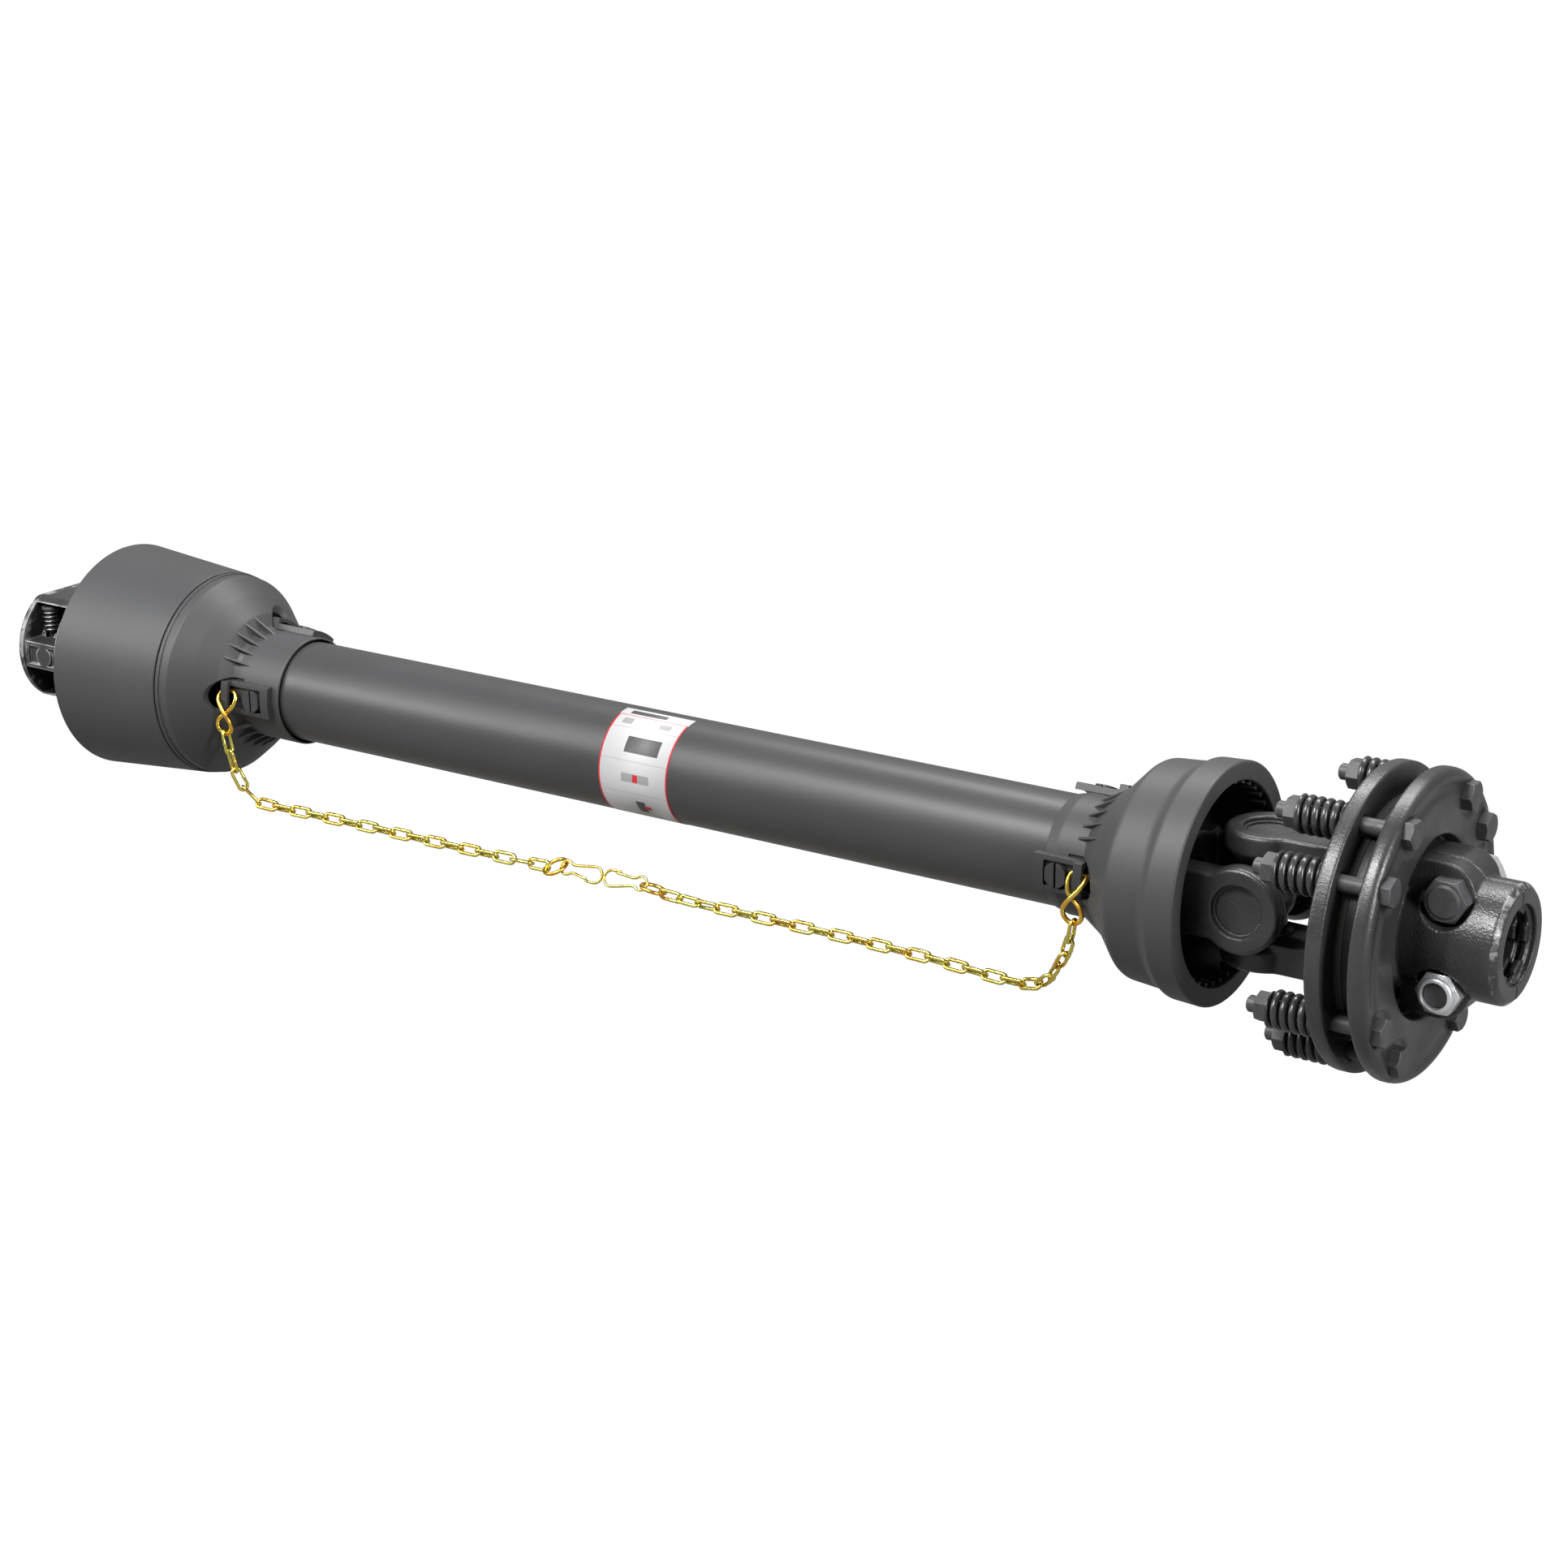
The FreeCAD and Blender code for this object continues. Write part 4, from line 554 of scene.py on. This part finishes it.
def own_axes(points):
    """Middle, axes and sizes of a solid: longest, next and thinnest direction."""
    table = np.array([tuple(p) for p in points])
    values, vectors = np.linalg.eigh(np.cov((table - table.mean(0)).T))
    axes = [Vector(vectors[:, k]) for k in (2, 1, 0)]
    if axes[0].cross(axes[1]).dot(axes[2]) < 0:
        axes[2].negate()
    spans = [(min(p.dot(a) for p in points), max(p.dot(a) for p in points)) for a in axes]
    middle = sum((a * (s[0] + s[1]) / 2 for a, s in zip(axes, spans)), Vector())
    place = Matrix([(*[a[r] for a in axes], middle[r]) for r in range(3)] + [(0, 0, 0, 1)])
    return place, [s[1] - s[0] for s in spans]


def wire_section(bm, radius, sides, at, turn):
    """A ring of vertices, the section that a wire is drawn from."""
    place = Matrix.Translation(at) @ turn
    made = bmesh.ops.create_circle(bm, cap_ends=False, radius=radius, segments=sides, matrix=place)
    edges = list({edge for vert in made["verts"] for edge in vert.link_edges})
    return made["verts"] + edges


def drawn(bm, section, step, scale=1.0):
    """Extrudes a section by one step and sets the new one's size."""
    edges = [e for e in section if isinstance(e, bmesh.types.BMEdge)]
    made = bmesh.ops.extrude_edge_only(bm, edges=edges)["geom"]
    verts = [v for v in made if isinstance(v, bmesh.types.BMVert)]
    bmesh.ops.translate(bm, verts=verts, vec=step)
    if scale != 1.0:
        middle = sum((v.co for v in verts), Vector()) / len(verts)
        bmesh.ops.scale(bm, verts=verts, vec=(scale, scale, scale), space=Matrix.Translation(-middle))
    return [e for e in made if not isinstance(e, bmesh.types.BMFace)]


def swept(bm, section, centre, axis, angle, steps, rise=(0, 0, 0)):
    """Turns a section about an axis, with a rise for a helix."""
    made = bmesh.ops.spin(
        bm, geom=section, cent=centre, axis=axis, dvec=Vector(rise) / steps, angle=angle, steps=steps,
        use_merge=False)
    return made["geom_last"]


def link_shape(length, width, wire, look):
    """One welded link with its legs along X: two half turns, two legs and a weld."""
    bm = bmesh.new()
    radius = wire / 2
    bend = width / 2 - radius
    half = length / 2 - bend - radius
    section = wire_section(bm, radius, look.sides, (-half, bend, 0), Matrix.Rotation(math.pi / 2, 4, "Y"))
    weld = 0.0007
    swell = 1.16
    run = [(half - weld, 1.0), (weld * 0.55, swell), (weld * 0.9, 1.0), (weld * 0.55, 1 / swell)]
    for step, scale in run:
        section = drawn(bm, section, (step, 0, 0), scale)
    section = drawn(bm, section, (half - weld, 0, 0))
    section = swept(bm, section, (half, 0, 0), (0, 0, -1), math.pi, look.bend_steps)
    section = drawn(bm, section, (-2 * half, 0, 0))
    swept(bm, section, (-half, 0, 0), (0, 0, -1), math.pi, look.bend_steps)
    bmesh.ops.remove_doubles(bm, verts=bm.verts, dist=1e-5)
    bmesh.ops.recalc_face_normals(bm, faces=bm.faces)
    return bm


def ring_shape(span, wire, look):
    """A round ring of wire about Z; the span is its outer diameter."""
    bm = bmesh.new()
    steps_round = 48
    mean = span / 2 - wire / 2
    turn = Matrix.Rotation(math.pi / 2, 4, "X")
    section = wire_section(bm, wire / 2, look.sides, (mean, 0, 0), turn)
    swept(bm, section, (0, 0, 0), (0, 0, 1), 2 * math.pi, steps_round)
    bmesh.ops.remove_doubles(bm, verts=bm.verts, dist=1e-5)
    bmesh.ops.recalc_face_normals(bm, faces=bm.faces)
    return bm


def added(target, source):
    """Joins one bmesh into another."""
    mesh = bpy.data.meshes.new("joining")
    source.to_mesh(mesh)
    source.free()
    target.from_mesh(mesh)
    bpy.data.meshes.remove(mesh)


def cast_form(node, material, look, crisp=0.0, fine=1.0):
    """A casting's solid with its corners run over; within the crisp radius of the axis they stay sharper."""
    fade = 0.002
    least = 0.12
    bm = bmesh.new()
    bm.from_mesh(nodes[node].data)
    bmesh.ops.remove_doubles(bm, verts=bm.verts, dist=1e-6)
    piece = finished(node + "_cast", bm, material, body_of(node))
    skin = piece.modifiers.new("Skin", "REMESH")
    skin.mode = "VOXEL"
    skin.voxel_size = look.grid * fine
    skin.use_smooth_shade = True
    settled(piece)
    soft = piece.vertex_groups.new(name="soft")
    for vert in piece.data.vertices:
        near = (math.hypot(vert.co.y, vert.co.z) - crisp) / fade
        soft.add([vert.index], min(1.0, max(least, near)), "REPLACE")
    smooth = piece.modifiers.new("Soften", "SMOOTH")
    smooth.factor = 0.5
    smooth.iterations = look.softening
    smooth.vertex_group = "soft"
    settled(piece)
    piece.vertex_groups.clear()
    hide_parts(node)
    return piece


def settled(piece):
    """Applies a piece's modifiers."""
    seen = piece.evaluated_get(bpy.context.evaluated_depsgraph_get())
    mesh = bpy.data.meshes.new_from_object(seen)
    piece.modifiers.clear()
    piece.data = mesh


def rounded_wire(node, name, material, swell, levels=2):
    """A bent wire from a CAD node's faceted rods, smoothed to a round section."""
    bm = merged_copy(node)
    bm.normal_update()
    for vert in bm.verts:
        vert.co += vert.normal * swell
    piece = finished(name, bm, material, body_of(node))
    smooth = piece.modifiers.new("Round", "SUBSURF")
    smooth.levels = levels
    smooth.render_levels = levels
    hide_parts(node)
    return piece


def look_of(context, name):
    """The settings of one group of pieces."""
    return getattr(context.scene, name)


# Operators, one for each group of like pieces

class PTO_OT_castings(bpy.types.Operator):
    """Paint the yokes, clutch plates and hub as thick black paint on castings"""

    bl_idname = "pto.castings"
    bl_label = "Castings"

    def execute(self, context):
        look = look_of(context, "pto_casting")
        yoke = casting_material("Cast paint", look, skin=0.7, rough=0.35)
        hub = casting_material("Hub paint", look, ring=hub_ring)
        collar = casting_material(
            "Collar paint", look, skin=1.2, rough=0.34, wear=1.6, edge_width=2.0, ring=collar_ring)
        pressed = casting_material("Pressed cover paint", look, skin=0.45, rough=0.33)
        cups = casting_material("Cup paint", look, skin=1.3, rough=0.4)
        dress(collar, "tractor_yoke")
        for node in ("tractor_tube_yoke", "implement_tube_yoke", "clutch_yoke"):
            cast_form(node, yoke, look)
        for node in ("hub_half_front", "hub_half_rear"):
            cast_form(node, hub, look, crisp=hub_crisp_radius, fine=0.8)
        cast_form("pressure_cover", pressed, look)
        dress(cups, "tractor_yoke_cups", "tractor_tube_yoke_cups", "implement_tube_yoke_cups",
              "clutch_yoke_cups", "tractor_yoke_circlips", "tractor_tube_yoke_circlips",
              "implement_tube_yoke_circlips", "clutch_yoke_circlips")
        return {"FINISHED"}


class PTO_OT_steel(bpy.types.Operator):
    """Finish crosses, tubes, pins, bolts, nuts and discs"""

    bl_idname = "pto.steel"
    bl_label = "Steel parts"

    def execute(self, context):
        dark = paint_material("Dark bolt paint", (0.034, 0.034, 0.036), 0.46, (0.36, 0.36, 0.37))
        pin = paint_material("Pin paint", (0.03, 0.03, 0.032), 0.34, (0.3, 0.3, 0.31))
        forged = metal_material("Forged steel", (0.16, 0.16, 0.165), 0.38)
        drawn_tube = metal_material("Drawn tube", (0.3, 0.3, 0.31), 0.32)
        zinc = metal_material("Bright zinc", (0.72, 0.73, 0.75), 0.28, scratch=0.04, metallic=0.75)
        ground = metal_material("Oiled steel", (0.035, 0.035, 0.037), 0.42)
        brass = metal_material("Brass", (0.6, 0.47, 0.2), 0.28)
        lining = plastic_material("Friction lining", (0.028, 0.026, 0.024), 0.0004, 0.8)
        dress(dark, "clutch_bolts", "clutch_nuts", "hub_bolts")
        dress(pin, "push_pin")
        dress(forged, "tractor_cross", "implement_cross", "tractor_roll_pin", "implement_roll_pin")
        dress(ground, "drive_plate")
        dress(drawn_tube, "inner_profile_tube", "outer_profile_tube")
        dress(zinc, "hub_nuts")
        dress(brass, "tractor_grease_nipple", "implement_grease_nipple")
        dress(lining, "friction_disc_inner", "friction_disc_outer")
        return {"FINISHED"}


class PTO_OT_springs(bpy.types.Operator):
    """Wind the clutch springs and the pin's spring from round wire"""

    bl_idname = "pto.springs"
    bl_label = "Springs"

    def execute(self, context):
        look = look_of(context, "pto_spring")
        gloss = paint_material("Spring paint", look.paint, 0.2, (0.1, 0.1, 0.1), wear=0.0)
        steel = metal_material("Spring steel", (0.32, 0.32, 0.33), 0.25)
        whole = bmesh.new()
        for points in solids_of("clutch_springs"):
            low = min(p.x for p in points)
            high = max(p.x for p in points)
            y = (min(p.y for p in points) + max(p.y for p in points)) / 2
            z = (min(p.z for p in points) + max(p.z for p in points)) / 2
            outer = max(math.hypot(p.y - y, p.z - z) for p in points)
            added(whole, self.coil(look, low, high, y, z, outer))
        piece = finished("clutch_springs_round", whole, gloss, body_of("clutch_springs"))
        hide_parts("clutch_springs")
        low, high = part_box("push_pin_spring")
        light = finished("push_pin_spring_round", self.helix(look, low, high), steel,
                         body_of("push_pin_spring"))
        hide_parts("push_pin_spring")
        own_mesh(light)
        return {"FINISHED"}

    def helix(self, look, low, high):
        """The light coil round the lock pin, upright between its seat and the pin's head."""
        bm = bmesh.new()
        radius = look.pin_wire / 2
        middle = (low + high) / 2
        mean = look.pin_coil / 2 - radius
        rise = high.z - low.z - look.pin_wire
        start = Vector((middle.x + mean, middle.y, low.z + radius))
        section = wire_section(bm, radius, 10, start, Matrix.Rotation(math.pi / 2, 4, "X"))
        swept(bm, section, (middle.x, middle.y, start.z), (0, 0, 1), 2 * math.pi * look.pin_turns,
              look.steps * look.pin_turns, (0, 0, rise))
        bmesh.ops.holes_fill(bm, edges=[e for e in bm.edges if e.is_boundary], sides=0)
        bmesh.ops.recalc_face_normals(bm, faces=bm.faces)
        return bm

    def coil(self, look, low, high, y, z, outer):
        """One spring with flat ground ends."""
        bm = bmesh.new()
        radius = look.wire / 2
        mean = outer - radius
        pitch = (high - low) / (look.turns + 0.15)
        turns = math.ceil(look.turns) + 2
        start = low - pitch
        section = wire_section(bm, radius, 14, (start, y, z + mean), Matrix.Rotation(math.pi / 2, 4, "X"))
        angle = math.atan2(y, z)
        first = [v for v in section if isinstance(v, bmesh.types.BMVert)]
        bmesh.ops.rotate(bm, verts=first, cent=(start, y, z), matrix=Matrix.Rotation(-angle, 3, "X"))
        swept(bm, section, (start, y, z), (1, 0, 0), 2 * math.pi * turns, look.steps * turns,
              (pitch * turns, 0, 0))
        for x, side in ((low, -1), (high, 1)):
            cut = bmesh.ops.bisect_plane(
                bm, geom=bm.verts[:] + bm.edges[:] + bm.faces[:], plane_co=(x, 0, 0), plane_no=(side, 0, 0),
                clear_outer=True)
            rim = [e for e in cut["geom_cut"] if isinstance(e, bmesh.types.BMEdge)]
            bmesh.ops.holes_fill(bm, edges=rim, sides=0)
        bmesh.ops.recalc_face_normals(bm, faces=bm.faces)
        return bm


class PTO_OT_guard(bpy.types.Operator):
    """Finish the guard's bell, cones, tubes and clips as moulded plastic"""

    bl_idname = "pto.guard"
    bl_label = "Guard"

    def execute(self, context):
        look = look_of(context, "pto_guard")
        plastic = plastic_material("Guard plastic", look.plastic, look.edge_round)
        clips = plastic_material("Clip plastic", toned(look.plastic, 0.85), look.edge_round * 0.7, 0.4)
        tube = plastic_material("Tube plastic", toned(look.plastic, 0.9), look.edge_round, 0.4)
        nylon = plastic_material("Bearing nylon", look.nylon, 0.0004, 0.45)
        dress(plastic, "tractor_bell", "tractor_cone", "implement_cone")
        dress(clips, "tractor_clips", "implement_clips")
        dress(tube, "inner_guard_tube", "outer_guard_tube")
        dress(nylon, "tractor_bearing_ring", "implement_bearing_ring")
        return {"FINISHED"}


class PTO_OT_label(bpy.types.Operator):
    """Wrap the plain label round the outer guard tube"""

    bl_idname = "pto.label"
    bl_label = "Label"

    def execute(self, context):
        look = look_of(context, "pto_label")
        low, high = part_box("outer_guard_tube")
        radius = (high.z - low.z) / 2 + look.lift
        bm = bmesh.new()
        first = bmesh.ops.create_vert(bm, co=(look.start, 0, radius))["vert"][0]
        second = bmesh.ops.create_vert(bm, co=(look.end, 0, radius))["vert"][0]
        edge = bm.edges.new((first, second))
        begin = math.pi / 2 - look.middle - look.wrap / 2
        bmesh.ops.rotate(bm, verts=[first, second], cent=(0, 0, 0), matrix=Matrix.Rotation(begin, 3, "X"))
        swept(bm, [first, second, edge], (0, 0, 0), (1, 0, 0), look.wrap, 96)
        bmesh.ops.recalc_face_normals(bm, faces=bm.faces)
        faces = list(bm.faces)
        if faces[0].normal.dot(Vector((0, *faces[0].calc_center_median()[1:]))) < 0:
            bmesh.ops.reverse_faces(bm, faces=faces)
        bmesh.ops.solidify(bm, geom=bm.faces[:], thickness=look.lift * 0.8)
        finished("label_band", bm, label_material(look, radius), body_of("outer_guard_tube"))
        return {"FINISHED"}


class PTO_OT_chain(bpy.types.Operator):
    """Shape the chain's links, rings and hooks from round wire"""

    bl_idname = "pto.chain"
    bl_label = "Restraint chain"

    def execute(self, context):
        look = look_of(context, "pto_chain")
        warm = zinc_material("Warm yellow zinc", look, 0.35)
        pale = zinc_material("Pale yellow zinc", look, -0.28)
        for end in ("tractor", "implement"):
            links = bmesh.new()
            for points in solids_of(end + "_chain_links"):
                place, sizes = own_axes(points)
                link = link_shape(sizes[0], sizes[1], look.wire, look)
                bmesh.ops.transform(link, matrix=place, verts=link.verts)
                added(links, link)
            self.piece(end + "_chain_links", links, pale)
            place, sizes = own_axes(solids_of(end + "_chain_ring")[0])
            ring = ring_shape(sizes[0], look.ring_wire, look)
            bmesh.ops.transform(ring, matrix=place, verts=ring.verts)
            self.piece(end + "_chain_ring", ring, warm)
            rounded_wire(end + "_s_hook", end + "_s_hook_round", warm, 0.00018)
            rounded_wire(end + "_snap_hook", end + "_snap_hook_round", pale, 0.00012)
        return {"FINISHED"}

    def piece(self, node, bm, material):
        """Puts a round-wire piece in a CAD node's place."""
        made = finished(node + "_round", bm, material, body_of(node))
        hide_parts(node)


class PTO_OT_stage(bpy.types.Operator):
    """Lay the floor and set the lamps, the surroundings and the camera"""

    bl_idname = "pto.stage"
    bl_label = "Stage"

    def execute(self, context):
        look = look_of(context, "pto_stage")
        self.floor(look)
        self.surroundings(look)
        for name, place, aim, size, power in lamps:
            self.lamp(name, Vector(place), Vector(aim), size, power)
        self.camera(look)
        context.scene.view_settings.view_transform = "Standard"
        return {"FINISHED"}

    def floor(self, look):
        """A wide pale disc that the bell and the clutch rest on."""
        slope = (look.floor_right - look.floor_left) / (clutch_contact_x - bell_contact_x)
        bm = bmesh.new()
        bmesh.ops.create_circle(bm, cap_ends=True, radius=16, segments=96)
        tilt = Matrix.Rotation(-math.atan(slope), 4, "Y")
        lift = Matrix.Translation((bell_contact_x, 0, look.floor_left))
        bmesh.ops.transform(bm, matrix=lift @ tilt, verts=bm.verts)
        mesh = bpy.data.meshes.new("floor")
        bm.to_mesh(mesh)
        bm.free()
        made = bpy.data.objects.new("floor", mesh)
        bpy.context.scene.collection.objects.link(made)
        material = bpy.data.materials.new("Pale floor")
        material.use_nodes = True
        material.node_tree.nodes.clear()
        work = Nodes(material.node_tree)
        plain = work.add("ShaderNodeBsdfDiffuse", {"Color": (0.12, 0.12, 0.12, 1)})
        glow = work.add("ShaderNodeEmission", {"Color": (1, 1, 1, 1), "Strength": 1.12})
        share = work.maths("MULTIPLY", self.white_seen(work, look), 0.9)
        both = work.add("ShaderNodeMixShader", {0: share, 1: plain.outputs[0], 2: glow.outputs[0]})
        work.add("ShaderNodeOutputMaterial", {"Surface": both.outputs[0]})
        mesh.materials.append(material)

    def white_seen(self, work, look):
        """Share of the white background that a ray meets: all of it, or less in gloss."""
        path = work.add("ShaderNodeLightPath").outputs
        direct = work.maths("MAXIMUM", path["Is Camera Ray"], path["Is Transmission Ray"])
        return work.maths("MAXIMUM", direct, work.maths("MULTIPLY", path["Is Glossy Ray"], look.gloss))

    def surroundings(self, look):
        """A world that is white to the eye and dim as a light."""
        world = bpy.data.worlds.new("Surroundings")
        bpy.context.scene.world = world
        world.use_nodes = True
        world.node_tree.nodes.clear()
        work = Nodes(world.node_tree)
        seen = self.white_seen(work, look)
        dim = work.add("ShaderNodeBackground", {"Color": (1, 1, 1, 1), "Strength": look.sky})
        white = work.add("ShaderNodeBackground", {"Color": (1, 1, 1, 1), "Strength": 1.0})
        both = work.add("ShaderNodeMixShader", {0: seen, 1: dim.outputs[0], 2: white.outputs[0]})
        work.add("ShaderNodeOutputWorld", {"Surface": both.outputs[0]})

    def lamp(self, name, place, aim, size, power):
        """One soft rectangular lamp that points at the shaft."""
        data = bpy.data.lights.new(name, "AREA")
        data.shape = "RECTANGLE"
        data.size, data.size_y = size
        data.energy = power
        made = bpy.data.objects.new(name, data)
        bpy.context.scene.collection.objects.link(made)
        made.location = place
        made.rotation_euler = (aim - place).to_track_quat("-Z", "Y").to_euler()

    def camera(self, look):
        """The camera at the photograph's viewing angle."""
        data = bpy.data.cameras.new("camera")
        data.lens = look.lens
        data.sensor_width = 36
        data.clip_end = 60
        made = bpy.data.objects.new("camera", data)
        bpy.context.scene.collection.objects.link(made)
        ahead = Vector((math.sin(look.yaw) * math.cos(look.dip), math.cos(look.yaw) * math.cos(look.dip),
                        -math.sin(look.dip)))
        made.location = look.eye
        made.rotation_euler = ahead.to_track_quat("-Z", "Y").to_euler()
        bpy.context.scene.camera = made


class PTO_PT_panel(bpy.types.Panel):
    """Lists the dressing steps in the 3D view's sidebar"""

    bl_idname = "PTO_PT_panel"
    bl_label = "Drive Shaft"
    bl_space_type = "VIEW_3D"
    bl_region_type = "UI"
    bl_category = "Drive Shaft"

    def draw(self, context):
        for look in looks:
            block = self.layout.box()
            settings = getattr(context.scene, look)
            for label in settings.__annotations__:
                block.prop(settings, label)
        for step in steps:
            self.layout.operator(step.bl_idname)


looks = {
    "pto_guard": GuardLook,
    "pto_label": LabelLook,
    "pto_casting": CastingLook,
    "pto_chain": ChainLook,
    "pto_spring": SpringLook,
    "pto_stage": StageLook,
}
steps = (
    PTO_OT_castings, PTO_OT_steel, PTO_OT_springs, PTO_OT_guard, PTO_OT_label, PTO_OT_chain, PTO_OT_stage)


def register():
    for look in looks.values():
        bpy.utils.register_class(look)
    for step in steps:
        bpy.utils.register_class(step)
    bpy.utils.register_class(PTO_PT_panel)
    for name, look in looks.items():
        setattr(bpy.types.Scene, name, PointerProperty(type=look))


def unregister():
    for name in looks:
        delattr(bpy.types.Scene, name)
    bpy.utils.unregister_class(PTO_PT_panel)
    for step in reversed(steps):
        bpy.utils.unregister_class(step)
    for look in reversed(list(looks.values())):
        bpy.utils.unregister_class(look)


def main():
    register()
    bpy.ops.pto.castings()
    bpy.ops.pto.steel()
    bpy.ops.pto.springs()
    bpy.ops.pto.guard()
    bpy.ops.pto.label()
    bpy.ops.pto.chain()
    bpy.ops.pto.stage()


if __name__ == "__main__":
    main()
